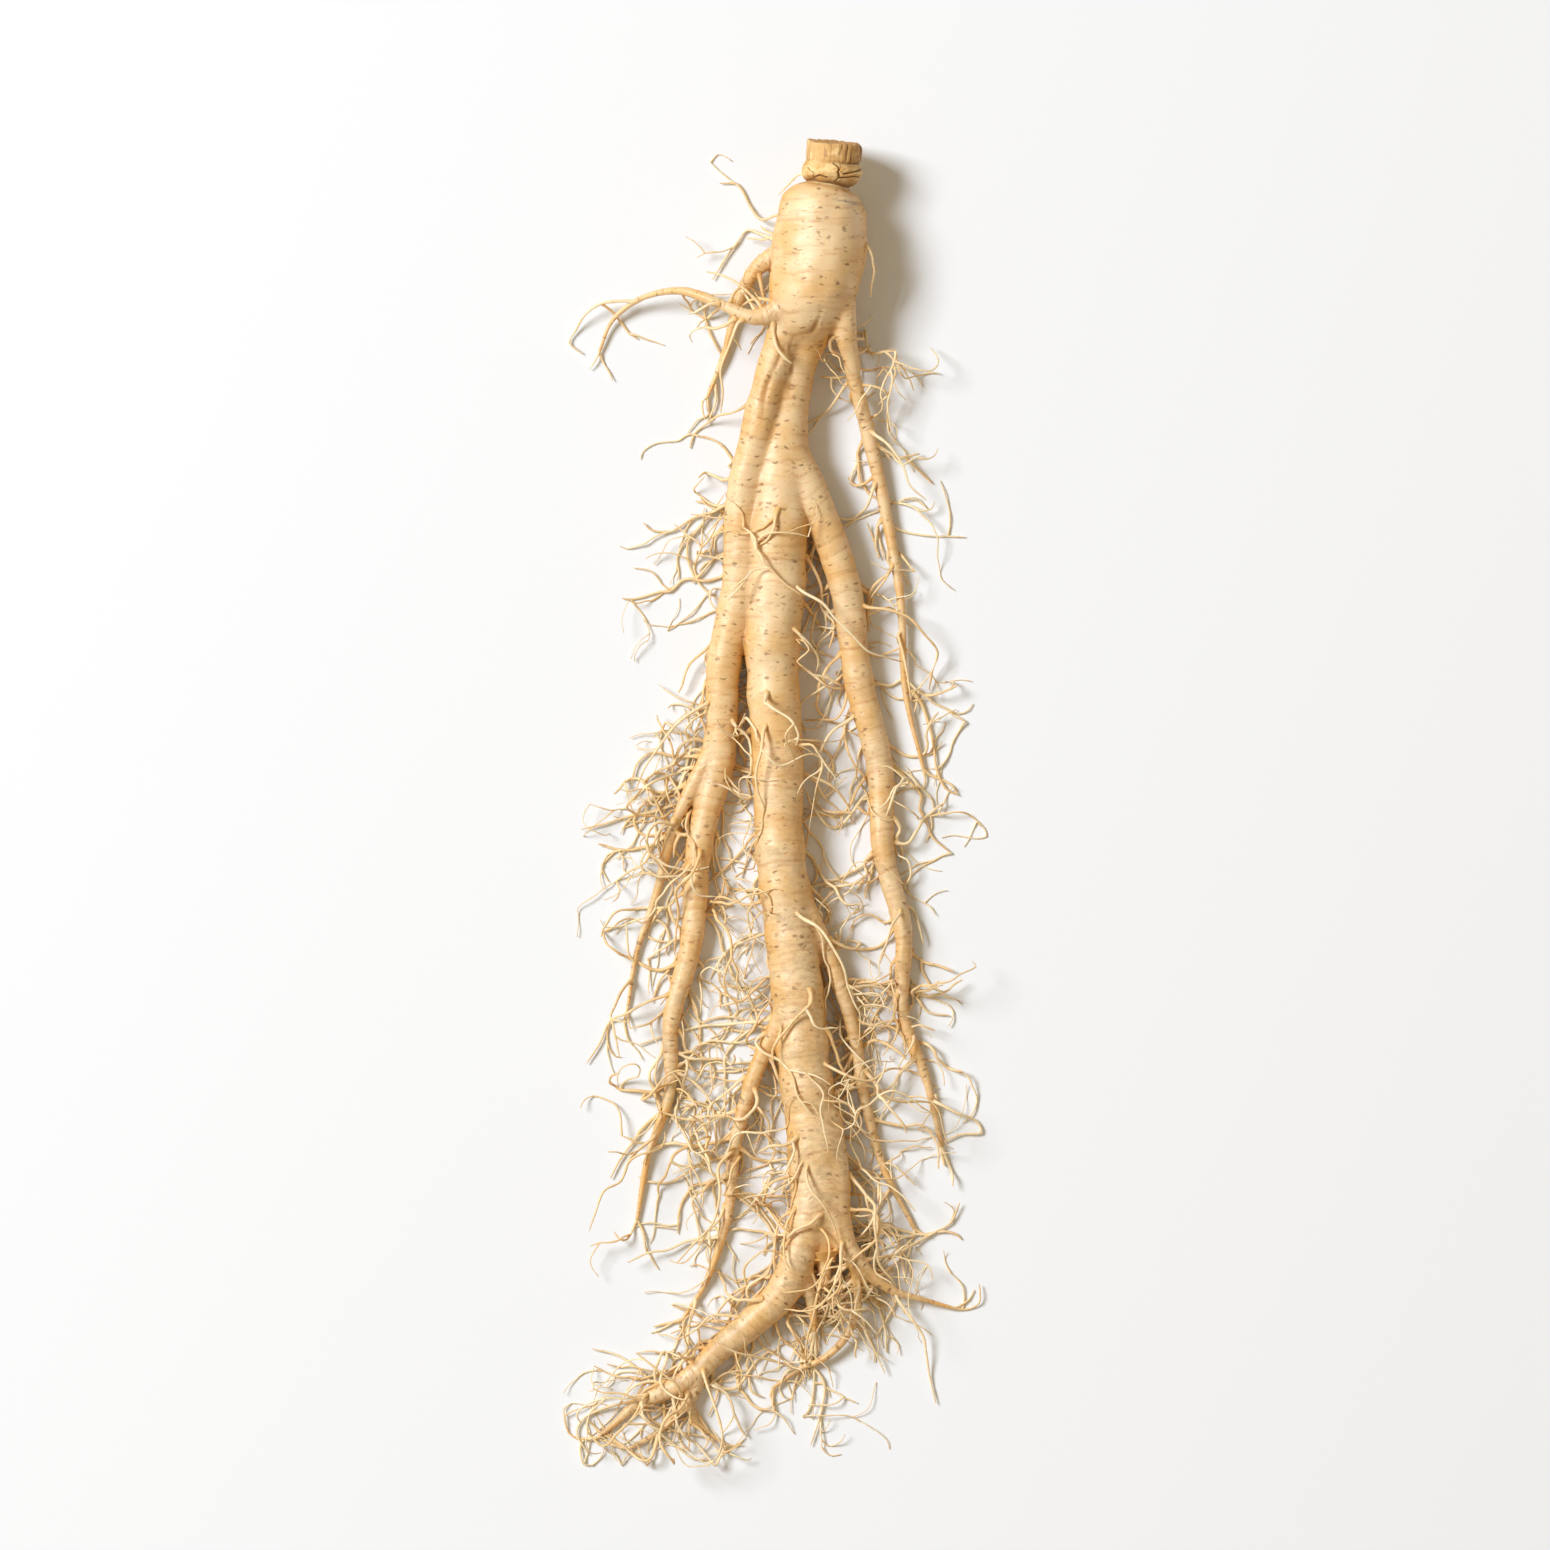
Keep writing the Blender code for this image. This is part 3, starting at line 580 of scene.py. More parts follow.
SHADE_LENGTH = 7.0                 # how far down the trunk the body's painted shade reaches
# How strongly each mask tints the skin: the creases by their own colour, the forks and the trunk below the
# body by painted shade, the furrows partly by painted shade
CREASE_TINT, FORK_SHADE_TINT, FURROW_SHADE_TINT, SHADE_TINT = 1.1, 1.8, 0.9, 0.75


def relief(place, along):
    """The skin's lumps, from about -1 to 1, and its ring creases: 1 at the bottom, below 0 on their lips."""
    lumps = noise.noise(BROAD_LUMPS * place) + 0.5 * noise.noise(SMALL_LUMPS * place)
    phase = (along + RING_SWAY * noise.noise(RING_SWAY_PITCH * place)) / RING_SPACING
    ring = math.floor(phase)
    from_line = (phase - ring - 0.5 - 0.5 * math.sin(RING_SCATTER * ring)) * RING_SPACING
    patch = noise.noise(RING_PATCH_PITCH * place + Vector((7.7 * ring, 0.0, 0.0)))
    shown = min(1.0, max(0.0, RINGS_SHOWN + RING_PATCHINESS * patch))
    lip = RING_LIP * math.exp(-(from_line / RING_LIP_WIDTH) ** 2)
    return lumps, shown * (math.exp(-(from_line / RING_WIDTH) ** 2) - lip)


def furrow(seam, points, up):
    """How deep in a furrow each point is: uneven, on the front of the root alone, and fading at its ends."""
    route = framed(catmull_rom([(x, y, 0.0, 0.0) for x, y in seam], SEAM_STEP))
    away, _, down, _ = nearest_on(route, points * (1, 1, 0))
    from_end = np.minimum(down - route["along"][0], route["along"][-1] - down)
    shown = np.clip(from_end / SEAM_FADE, 0.0, 1.0) * np.clip(2 * up, 0.0, 1.0)
    near = zip(points, away < SEAM_REACH)
    uneven = np.array([noise.noise(UNEVEN_PITCH * Vector(p)) if close else 0.0 for p, close in near])
    width = SEAM_WIDTH * np.clip(1 + 1.3 * uneven, 0.5, 1.8)
    return shown * np.clip(0.8 + 1.2 * uneven, 0.2, 1.1) * np.exp(-(away / width) ** 2)


flesh = line_mesh("root_flesh", list(routes.values()))
grown_by(grow_along_lines, flesh, Sides=FLESH_SIDES, Lowest=UNDER_ALL, Finish=skin_finish)
fused = flesh.modifiers.new("fused", "REMESH")
fused.mode, fused.voxel_size = "VOXEL", FLESH_VOXEL * MM
made_plain(flesh)
points = points_of(flesh.data)
edges = np.empty(len(flesh.data.edges) * 2, int)
flesh.data.edges.foreach_get("vertices", edges)
for _ in range(SMOOTHING_ROUNDS):
    points = relaxed(points, edges.reshape(-1, 2))
    for _ in range(DRAWING_ROUNDS):
        found = nearest_flesh(points)
        points -= found["gap"][:, None] * found["out"]
lumps, creases = np.array([relief(Vector(p), a) for p, a in zip(points, found["along"])]).T
on_arm, _, down_arm, _ = nearest_on(routes["arm"], points)
down_arm -= routes["arm"]["along"][0]
folded = np.clip(1 - on_arm / ON_SKIN, 0.0, 1.0)
folded *= np.clip((ARM_FOLDS_END - down_arm) / ARM_FOLDS_FADE, 0.0, 1.0)
folds = np.cos(math.pi * down_arm / ARM_FOLD_SPACING) ** ARM_FOLD_SHARPNESS
creases = np.maximum(creases, ARM_FOLD_STRENGTH * folded * folds)
strength = np.clip(RINGS_AT_TOP - found["along"] / RINGS_FADE, LEAST_RINGS, 1.0)
furrows = np.max([furrow(seam, points, found["out"][:, 2]) for seam in SEAMS], axis=0)
# Painted shade: the trunk just below the body's lip is tinted a deeper tan, as the body's shade on it
under = nearest_on_body(points)[0]
below = np.clip(under / ON_SKIN, 0.0, 1.0) * np.exp(-np.maximum(under, 0.0) / SHADE_LENGTH)
below *= np.clip(1 - nearest_on(routes["trunk"], points)[0] / ON_TRUNK, 0.0, 1.0)
height = LUMP_HEIGHT * np.sqrt(found["radius"]) * lumps
height = height - CREASE_DEPTH * strength * creases - SEAM_DEPTH * furrows
points += height[:, None] * found["out"]
points[:, 2] = np.maximum(points[:, 2], 0.0)
flesh.data.vertices.foreach_set("co", (points * MM).astype(np.float32).ravel())
set_values(flesh.data, "along", found["along"])
# Painted shade in the forks and, in part, the furrows, with the ring creases' own tan
crease_and_shade_tinge = CREASE_TINT * creases + FORK_SHADE_TINT * found["fork"] + FURROW_SHADE_TINT * furrows
set_values(flesh.data, "crease", np.clip(crease_and_shade_tinge, 0.0, 1.0))
# Painted shade: the flanks and underside, and the trunk below the body
set_values(flesh.data, "flank", np.clip(1.0 - found["out"][:, 2] + SHADE_TINT * below, 0.0, 1.0))
flesh.data.materials.clear()
flesh.data.materials.append(skin_finish)
flesh.data.shade_smooth()
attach(flesh, "root")
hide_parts("ginseng_root")


# The thin ends of the roots, of the same flesh and skin, each growing on from inside the thick part.
# They taper to the thread-like tips that lie on the surface.
END_SIDES, END_STEP = 12, 0.9
END_SNUGNESS = 0.97                # an end is this much thinner, to start inside the thick part
END_LUMPS, END_LUMP_PITCH = 0.12, 0.5
END_FLANK_SHADE = 0.5                    # how much of the flanks' painted shade, a deeper tan, is on the ends
LOWEST = 0.02
ends = []
for end in thin_ends:
    if len(end["line"]) > OVERLAP:
        line = [[*spot, radius * END_SNUGNESS, along] for spot, radius, along in zip(*end.values())]
        fine = np.array(catmull_rom(line, END_STEP))
        wobble = np.array([noise.noise(Vector(spot) * END_LUMP_PITCH) for spot in fine[:, :3]])
        ends.append({"line": fine[:, :3], "radius": fine[:, 3] * (1 + END_LUMPS * wobble),
                     "along": fine[:, 4], "crease": 0.0, "flank": END_FLANK_SHADE})
root_ends = line_mesh("root_ends", ends)
grown_by(grow_along_lines, root_ends, Sides=END_SIDES, Lowest=LOWEST * MM, Finish=skin_finish)
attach(root_ends, "root")
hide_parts("ginseng_root")


# The crown: the fibrous brown-tan stub of the cut stem, standing in a collar of old wrinkled folds
# that overhangs the narrow neck. It grew in one piece with the body; here it is turned about the
# body's axis, with its fibres, splits, folds and sawn face all in the mesh.
STUB_RADIUS = 6.0
COLLAR_RADIUS = 6.6
CROWN_ANGLES, CROWN_ROWS, FACE_ROWS = 224, 108, 14
CROWN_DEPTH = 11.6                 # it ends inside the body, this far below the cut
CUT_SLOPE_X, CUT_SLOPE_Z, CUT_DROP = -0.09, -0.1, 0.75
CUT_LEAN_DEPTH = 10.0              # the cut's slope and drop fade out by this depth
STUB_FOOT, COLLAR_LIP = 4.7, 9.75  # where the collar begins and ends, below the cut
NECK_RADIUS, TUCK_RADIUS = 4.9, 5.2
SPLIT_DEPTH, SPLIT_WIDTH = 0.34, 0.22
FOLD_RAISE, FOLD_DEPTH, FOLD_WIDTH = 0.3, 0.6, 0.21
RIM_WEAR, RAGGEDNESS = 1.2, 0.3    # how far the cut's edge is worn back, and how ragged it is
FACE_DEPTH, PITH_DEPTH, TORN_HEIGHT = 0.12, 0.75, 0.28


def around(angle, turns, depth, pitch, seed=0.0):
    """Smooth noise round the crown: this many times round it, and this many millimetres down it."""
    scale = turns / math.tau
    return noise.noise(Vector((scale * math.cos(angle) + seed, scale * math.sin(angle), depth / pitch)))


# The creases between the collar's folds, as degrees round the crown and millimetres below the cut
FOLD_CREASES = [
    [(86, 5.0), (74, 6.6), (76, 9.3)], [(64, 7.6), (45, 6.9), (20, 6.2), (-10, 6.0)],
    [(72, 8.7), (40, 8.1), (5, 8.4)], [(128, 9.0), (126, 7.4), (140, 6.4)],
    [(168, 8.8), (165, 6.8), (150, 5.3)], [(98, 8.5), (110, 7.9), (124, 8.5)],
    [(200, 5.4), (215, 7.6), (205, 9.4)], [(235, 5.0), (250, 7.0), (285, 7.6), (320, 6.6)],
    [(262, 9.0), (275, 7.8)], [(330, 9.2), (322, 7.6), (340, 5.6)], [(22, 5.2), (8, 7.0)],
]
SPLITS = {                         # where the stub's bark is split, in degrees, and how deeply
    12: 0.9, 27: 1.0, 38: 0.8, 51: 1.0, 63: 0.7, 76: 0.9, 98: 0.35, 121: 0.25, 151: 0.3, 176: 0.6, 214: 0.8,
    250: 0.9, 283: 0.7, 322: 1.0,
}
SMOOTH_SIDE = math.radians(128)    # where the stub's bark is smoothest, and flows on into the collar; it faces the lamp and is painted paler there, as a highlight
BROWN_SHADED_SIDE = math.radians(25)       # where it is brownest and darkest, away from the lamp: partly the bark's own brown, partly painted shade


def turned_by(angle, other):
    """How far round the crown one angle is from another, the shorter way."""
    return (angle - other + math.pi) % math.tau - math.pi


def fold_height(angle, depth):
    """How a crease between two folds lowers the collar, and raises the fold that overlaps it."""
    deepest, raised = 0.0, 0.0
    angle += 0.16 * around(angle, 9, depth, 1.4, 43)
    depth += 0.55 * around(angle, 11, depth, 1.8, 47)
    for crease in FOLD_CREASES:
        for (turn_a, depth_a), (turn_b, depth_b) in zip(crease, crease[1:]):
            a = (STUB_RADIUS * turned_by(angle, math.radians(turn_a)), depth - depth_a)
            step = (STUB_RADIUS * math.radians(turn_b - turn_a), depth_b - depth_a)
            share = (a[0] * step[0] + a[1] * step[1]) / (step[0] ** 2 + step[1] ** 2)
            share = min(1.0, max(0.0, share))
            away = math.hypot(a[0] - share * step[0], a[1] - share * step[1])
            side = 1.0 if a[0] * step[1] > a[1] * step[0] else -0.35
            deepest = max(deepest, math.exp(-(away / FOLD_WIDTH) ** 2))
            raised = max(raised, side * math.exp(-away / 0.8), key=abs)
    return deepest, raised


def stub_skin(angle, depth, foot, smooth):
    """The stub's part of crown_skin: fluted bark with splits, worn at the cut and hollowed at its foot, with
    painted shade in its splits and hollow, on its side away from the lamp and under the cut's edge, and a
    painted highlight on its side that faces the lamp.
    """
    flutes = 0.16 * around(angle, 34, depth, 9) + 0.08 * around(angle, 120, depth, 5, 5)
    wander = 0.09 * around(angle, 6, depth, 3, 33)
    split = sum(
        deep * math.exp(-(STUB_RADIUS * turned_by(angle + wander, math.radians(turn)) / SPLIT_WIDTH) ** 2)
        * min(1.0, max(0.0, 0.7 + 2.2 * around(angle, 5, depth, 4, turn)))
        for turn, deep in SPLITS.items()
    )
    ledge = max(0.0, around(angle, 14, depth, 1.6, 13) - 0.2)
    radius = STUB_RADIUS * (1.0 + 0.035 * math.exp(-depth / 1.5)) + 0.5 * ledge - SPLIT_DEPTH * split
    radius += flutes * (1 - 0.6 * smooth) + 0.12 * around(angle, 8, depth, 2.4, 37)
    worn = 0.3 + 0.7 * max(0.0, math.cos(angle)) ** 2
    radius -= RIM_WEAR * worn * math.exp(-depth / (0.6 * worn))
    hollow = math.exp(-(foot - depth) / 0.3) * (1 - 0.85 * smooth)
    brown_and_shade = 0.35 * math.exp(-(turned_by(angle, BROWN_SHADED_SIDE) / 0.5) ** 2)
    # A painted shadow line just under the cut's edge, on the side that faces the lamp
    rim_shadow = 0.8 * math.exp(-(depth / 0.3) ** 2 - (turned_by(angle, SMOOTH_SIDE) / 0.5) ** 2)
    return radius - 0.3 * hollow, min(1.0, 0.85 * split + 0.6 * hollow + brown_and_shade + rim_shadow), 1.0, 0.45 * smooth


def collar_skin(angle, depth, foot, lip, smooth):
    """The collar's part of crown_skin: a roll of overlapping, wrinkled folds that tucks in at its lip, with
    painted shade where it tucks in and in its creases, and a painted highlight on each fold's raised lip.
    """
    share = (depth - foot) / (lip - foot)
    bulge = math.sin(math.pi * share ** 0.82) ** 0.5
    tuck = TUCK_RADIUS + 0.75 * smooth * (1 - share)
    shaded = (1 - bulge) * (1 - 0.85 * smooth * (1 - share))
    deepest, raised = fold_height(angle, depth)
    wrinkles = 0.2 * around(angle, 18, depth + math.sin(angle), 1.3, 21)
    wrinkles += 0.12 * around(angle, 50, depth, 0.6, 23)
    folds = FOLD_RAISE * raised - FOLD_DEPTH * deepest + wrinkles
    radius = tuck + (COLLAR_RADIUS - tuck) * bulge + folds * bulge
    lip_highlights = bulge * max(0.0, raised) * (1 - deepest)
    return radius, min(1.0, max(0.0, 1.1 * shaded + deepest)), 0.0, lip_highlights


def crown_skin(angle, depth):
    """The crown's radius, its painted shade in creases, splits and hollows, how fibrous, and its painted
    highlight on a lip, at an angle and a depth.
    """
    foot = STUB_FOOT + 0.3 * math.sin(2 * angle + 0.6) + 0.45 * around(angle, 9, 0, 1, 3)
    lip = COLLAR_LIP + 0.75 * math.cos(angle) + 0.4 * around(angle, 14, 0, 1, 15)
    smooth = math.exp(-(turned_by(angle, SMOOTH_SIDE) / 0.85) ** 2)
    if depth < foot:
        return stub_skin(angle, depth, foot, smooth)
    if depth > lip:
        # The neck under the collar's overhang is in full painted shade
        return NECK_RADIUS, 1.0, 0.0, 0.0
    return collar_skin(angle, depth, foot, lip, smooth)


def crown_point(angle, depth, radius, lift=0.0):
    """Where a point of the crown lies in the frame: on the body's axis, with the cut end leaning."""
    across, up = radius * math.cos(angle), radius * math.sin(angle)
    lean = max(0.0, 1 - depth / CUT_LEAN_DEPTH)
    x, _, z = body_centre(CROWN_TOP - depth)
    y = CROWN_TOP - depth + lean * (CUT_SLOPE_X * across + CUT_SLOPE_Z * up - CUT_DROP) + lift
    return x + across + ROUTE_ORIGIN[0], y + ROUTE_ORIGIN[1], z + up


def face_spot(angle, share):
    """A point of the sawn face, this share of the way to its edge, with its painted shade where it is sunk,
    its fibre and its lip.
    """
    radius = share * crown_skin(angle, 0.0)[0]
    pith = PITH_DEPTH * math.exp(-(share / 0.45) ** 4)
    torn = TORN_HEIGHT * around(angle, 5 + 30 * share, share * 6, 1.0, 27)
    ragged = RAGGEDNESS * share ** 6 * around(angle, 40, 0, 1, 29)
    spot = crown_point(angle, FACE_DEPTH, radius, torn + ragged - pith)
    # Painted shade where the face is sunk: in the pith and where fibres are torn down
    return spot, (min(1.0, max(0.0, pith + 2.2 * -torn)), 1.0, 0.0)


def side_spot(angle, depth):
    """The same for a point of the crown's side, this far below the cut."""
    radius, *said = crown_skin(angle, depth)
    ragged = RAGGEDNESS * math.exp(-depth / 0.6) * around(angle, 40, 0, 1, 29)
    return crown_point(angle, depth, radius, ragged), said


angles = [math.tau * turn / CROWN_ANGLES for turn in range(CROWN_ANGLES)]
turned = [(crown_point(0.0, 0.9, 0.0), (0.6, 1.0, 0.0))]
for row in range(1, FACE_ROWS + 1):
    turned += [face_spot(angle, row / (FACE_ROWS + 1)) for angle in angles]
for row in range(CROWN_ROWS):
    turned += [side_spot(angle, CROWN_DEPTH * row / (CROWN_ROWS - 1)) for angle in angles]
turned.append((crown_point(0.0, CROWN_DEPTH, 0.0), (1.0, 0.0, 0.0)))
spots, said_of = zip(*turned)
last = len(spots) - 1
faces = []
for turn in range(CROWN_ANGLES):
    after = (turn + 1) % CROWN_ANGLES
    faces.append((0, 1 + turn, 1 + after))
    for row in range(FACE_ROWS + CROWN_ROWS - 1):
        start = 1 + row * CROWN_ANGLES
        below = start + CROWN_ANGLES
        faces.append((start + turn, below + turn, below + after, start + after))
    faces.append((last, last - CROWN_ANGLES + after, last - CROWN_ANGLES + turn))
mesh = bpy.data.meshes.new("root_crown")
mesh.from_pydata(np.array(spots) * MM, [], faces)
set_values(mesh, "along", np.array([CROWN_TOP + ROUTE_ORIGIN[1] - spot[1] for spot in spots]))
# The crease value is painted shade, and the lip value a painted highlight on the folds' lips and on the
# stub's side that faces the lamp
for name, values in zip(("crease", "fibre", "lip"), np.array(said_of).T):
    set_values(mesh, name, values)
set_values(mesh, "face", np.arange(len(spots)) <= FACE_ROWS * CROWN_ANGLES)
mesh.shade_smooth()
crown = bpy.data.objects.new("root_crown", mesh)
bpy.context.scene.collection.objects.link(crown)

STUB_TAN, STUB_BROWN = (0.67, 0.39, 0.14, 1.0), (0.31, 0.135, 0.04, 1.0)
STUB_PALE = (0.88, 0.65, 0.34, 1.0)
FACE_BROWN, CREASE_SHADE_BROWN = (0.50, 0.235, 0.055, 1.0), (0.20, 0.085, 0.022, 1.0)
FOLD_TAN, FOLD_PALE = (0.70, 0.40, 0.125, 1.0), (0.90, 0.67, 0.34, 1.0)
crown_finish, shader, wire = finish_of("crown_bark", Specular_IOR_Level=0.4, Subsurface_Weight=0.08,
                                       Subsurface_Radius=(1.0, 0.5, 0.2), Subsurface_Scale=0.0006)
streaks = wire.fibres(across=0.75, along=7.0, detail=4.0)
threads = wire.fibres(across=0.18, along=3.0)
blotches = wire.bands(across=2.6, along=2.2, detail=3.0)
wrinkles = wire.bands(across=1.6, along=0.4, detail=3.0, seed=2.0)
stub = streaks.step(0.3, 0.5).mix(STUB_BROWN, STUB_TAN)
stub = (blotches.step(0.46, 0.6) * streaks.step(0.46, 0.6) * 0.95).mix(stub, STUB_PALE)
fold = blotches.step(0.35, 0.62).mix(FOLD_TAN, FOLD_PALE)
fold = (wrinkles.step(0.54, 0.7) * 0.5).mix(fold, CREASE_AND_SHADE_TAN)
colour = wire.said("fibre").mix(fold, stub)
# Painted highlight: the folds' raised lips and the stub's side that faces the lamp go paler
colour = (wire.said("lip") * 0.6).mix(colour, FOLD_PALE)
colour = (wire.said("face") * 0.75).mix(colour, FACE_BROWN)
# Painted shade: the crown's creases, splits, hollows, neck, the line under the cut's edge and the side away
# from the lamp go a dark brown
colour = (wire.said("crease") * 0.88).mix(colour, CREASE_SHADE_BROWN)
height = streaks * 0.5 + threads * 0.3 + wrinkles * 0.3
feed(shader, Base_Color=colour, Roughness=0.55 + streaks * 0.2, Normal=height.bump(0.0003, 0.7))
mesh.materials.append(crown_finish)
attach(crown, "root")
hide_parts("ginseng_root")


# The rootlets: pale, kinked, wiry feeding roots that fork again and again and net round the legs and
# tails. Each is flared where it leaves the flesh, slides along any flesh that it meets, and sags to
# the surface. The first ones are the solid model's own, and finer ones grow between them.
ROOTLET_COUNTS = {
    "body": 4, "trunk": 12, "left_leg": 12, "right_leg": 10, "front_leg": 5, "arm": 4, "shoulder_root": 3,
    "left_side_root": 4, "low_right_root": 6, "low_left_root": 7, "left_tail": 10, "right_tail": 4,
    "right_tail_fork": 4, "left_tail_fork": 2,
}
SEED = 41
ROOTLET_RADIUS = 0.42
ROOTLET_TIP_RADIUS = 0.2
ROOTLET_STEP = 5.0
ROOTLET_STEPS = (4, 7)
ROOTLET_KINK = 0.36
TAILWARD = np.array((0.0, -0.22, 0.0))
SAG = np.array((0.0, 0.0, -0.28))
LOWEST_ROOTLET = 0.35
NET_MARGIN = (6.0, 2.5)            # how far they reach past the span of the thicker roots
GROUND_DEPTH = 20.0
GOLDEN_ANGLE = 2.4
USUAL_FIRST_ROOTLET = 0.12
FIRST_ROOTLET = {"trunk": 0.2, "left_leg": 0.2, "right_leg": 0.16, "left_tail": 0.3, "right_tail": 0.4}
LAST_ROOTLET = 0.97
COARSE_STEP = 5.8                  # the solid model's distance between points down a leg
ON_TOP = 0.3                       # a rootlet whose turn has a greater sine grows from its root's top


def rootlet_route(rng, route, share, turn, flesh_points):
    """A kinked, sagging route that starts inside a root, a share of the way down it."""
    index = min(len(route) - 2, int(share * (len(route) - 1)))
    parent = np.array(route[index])
    along = unit(np.array(route[index + 1][:3]) - parent[:3])
    side = unit(np.cross(along, (0.0, 0.0, 1.0)))
    out = math.cos(turn) * side + math.sin(turn) * np.cross(side, along)
    place = parent[:3] + 0.35 * parent[3] * out
    heading = unit(out + 0.5 * along)
    low = flesh_points[:, :3].min(axis=0) - (*NET_MARGIN, GROUND_DEPTH)
    high = flesh_points[:, :3].max(axis=0) + (*NET_MARGIN, GROUND_DEPTH)
    steps = rng.randint(*ROOTLET_STEPS)
    stations = [place]
    for i in range(steps):
        length = 0.9 * parent[3] + 0.6 if i == 0 else ROOTLET_STEP * rng.uniform(0.8, 1.2)
        kink = np.array([rng.gauss(0, 1), rng.gauss(0, 1), 0.5 * rng.gauss(0, 1)]) * ROOTLET_KINK
        heading = unit(heading + kink * (i > 0) + TAILWARD * (i > 0) + SAG * (place[2] > 2.0))
        place = place + heading * length
        beyond = (place < low) | (place > high)
        heading = np.where(beyond, -heading, heading)
        place = np.clip(place, low, high)
        if i > 0:
            away = place - flesh_points[:, :3]
            gap = np.linalg.norm(away, axis=1) - flesh_points[:, 3] - ROOTLET_RADIUS
            nearest = int(np.argmin(gap))
            if gap[nearest] < 0:
                place = place + unit(away[nearest]) * -gap[nearest]
        place[2] = max(place[2], ROOTLET_RADIUS + LOWEST_ROOTLET)
        stations.append(place)
    return np.array(stations)


THICK_BODY = [
    (12.0, 0.8), (13.8, 0.89), (16.0, 0.95), (19.5, 0.985), (23.5, 1.0), (28.0, 0.985), (32.0, 0.95),
    (35.5, 0.91), (38.5, 0.82),
]                                  # depth, and radius as a share of the body's
coarse = {"body": [(*body_centre(CROWN_TOP - depth), share * BODY_RADIUS) for depth, share in THICK_BODY]}
for number, (name, stations) in enumerate(ROOTS.items()):
    coarse[name] = swollen(catmull_rom(stations, COARSE_STEP), number)
rng = random.Random(SEED)
flesh_points = np.array([spot for route in coarse.values() for spot in route])
rootlets = []
for name, count in ROOTLET_COUNTS.items():
    first = FIRST_ROOTLET.get(name, USUAL_FIRST_ROOTLET)
    for i in range(count):
        share = first + (LAST_ROOTLET - first) * (i + rng.uniform(0.1, 0.9)) / count
        turn = GOLDEN_ANGLE * i + rng.uniform(-0.4, 0.4)
        line = rootlet_route(rng, coarse[name], share, turn, flesh_points) + (*ROUTE_ORIGIN, 0.0)
        if name != "body" or math.sin(turn) <= ON_TOP:     # the top of the body is washed bare
            rootlets.append({"line": line, "start": ROOTLET_RADIUS, "tip": ROOTLET_TIP_RADIUS})

# The finer rootlets of each root: how many grow from it, and how many steps long they are
FINE_ROOTLETS = {
    "body": (5, 4, 9), "trunk": (58, 5, 13), "left_leg": (48, 6, 14), "right_leg": (42, 6, 14),
    "front_leg": (17, 5, 11), "arm": (8, 4, 9), "shoulder_root": (4, 4, 8), "left_side_root": (15, 6, 13),
    "low_right_root": (22, 7, 15), "low_left_root": (24, 7, 15), "left_tail": (34, 7, 15),
    "right_tail": (18, 8, 17), "tail_spur": (7, 7, 14), "right_tail_fork": (12, 6, 13),
    "left_tail_fork": (6, 5, 11), "last_fork": (3, 4, 8),
}
FINE_RADII, FINE_TIP = (0.29, 0.47), 0.62
FINE_STEP, FINE_STEP_RANGE = 2.0, (0.75, 1.25)
FINE_KINK = (0.3, 0.3, 0.15)
KEPT_BEND = 0.42                   # how much of its last bend a rootlet keeps, which curls it
FINE_PULL = (0.0, -0.1, -0.2)
FIRST_FINE, FINE_SPAN = 0.14, 0.84
FINE_TURN = 0.5                    # how far a rootlet's turn strays from the golden angle's
FINE_LEAN = (0.2, 1.0)             # how much it heads down its root as it leaves it
FOOT_DEPTH = 0.35                  # how deep in the flesh it starts
TOP_SHARE = 0.2                    # of those that would grow from a root's top, how many do
TIP_ROOTLETS, TIP_SPREAD = 2, 0.35  # how many go on from each root's tip, and how far they spread
TIP_STEPS, TIP_THICKNESS = (2, 6), 0.85
FLESH_PUSH, FLESH_NEAR = 0.2, 1.2  # how strongly, and how near to it, the flesh turns them away
INWARD_PUSH = 1.2                  # how strongly it does where one heads into it
EDGE_PUSH, EDGE_NEAR = (0.15, 0.9), 9.0
BOX_MARGIN, GROUND_GAP = 1.0, 0.1
BRANCHES = (560, 430)              # how many branches grow from the rootlets, and then from the branches
BRANCH_SPREAD = (1.0, 1.0, 0.4)
SHORTEST_BRANCH, BRANCH_LIMITS = 3, (5, 11)
BRANCH_THICKNESS = (0.7, 1.0)
draw = np.random.default_rng(SEED)
box_low = np.array(cad_box[0]) / MM - (BOX_MARGIN, BOX_MARGIN, 0.0)
box_high = np.array(cad_box[1]) / MM + BOX_MARGIN


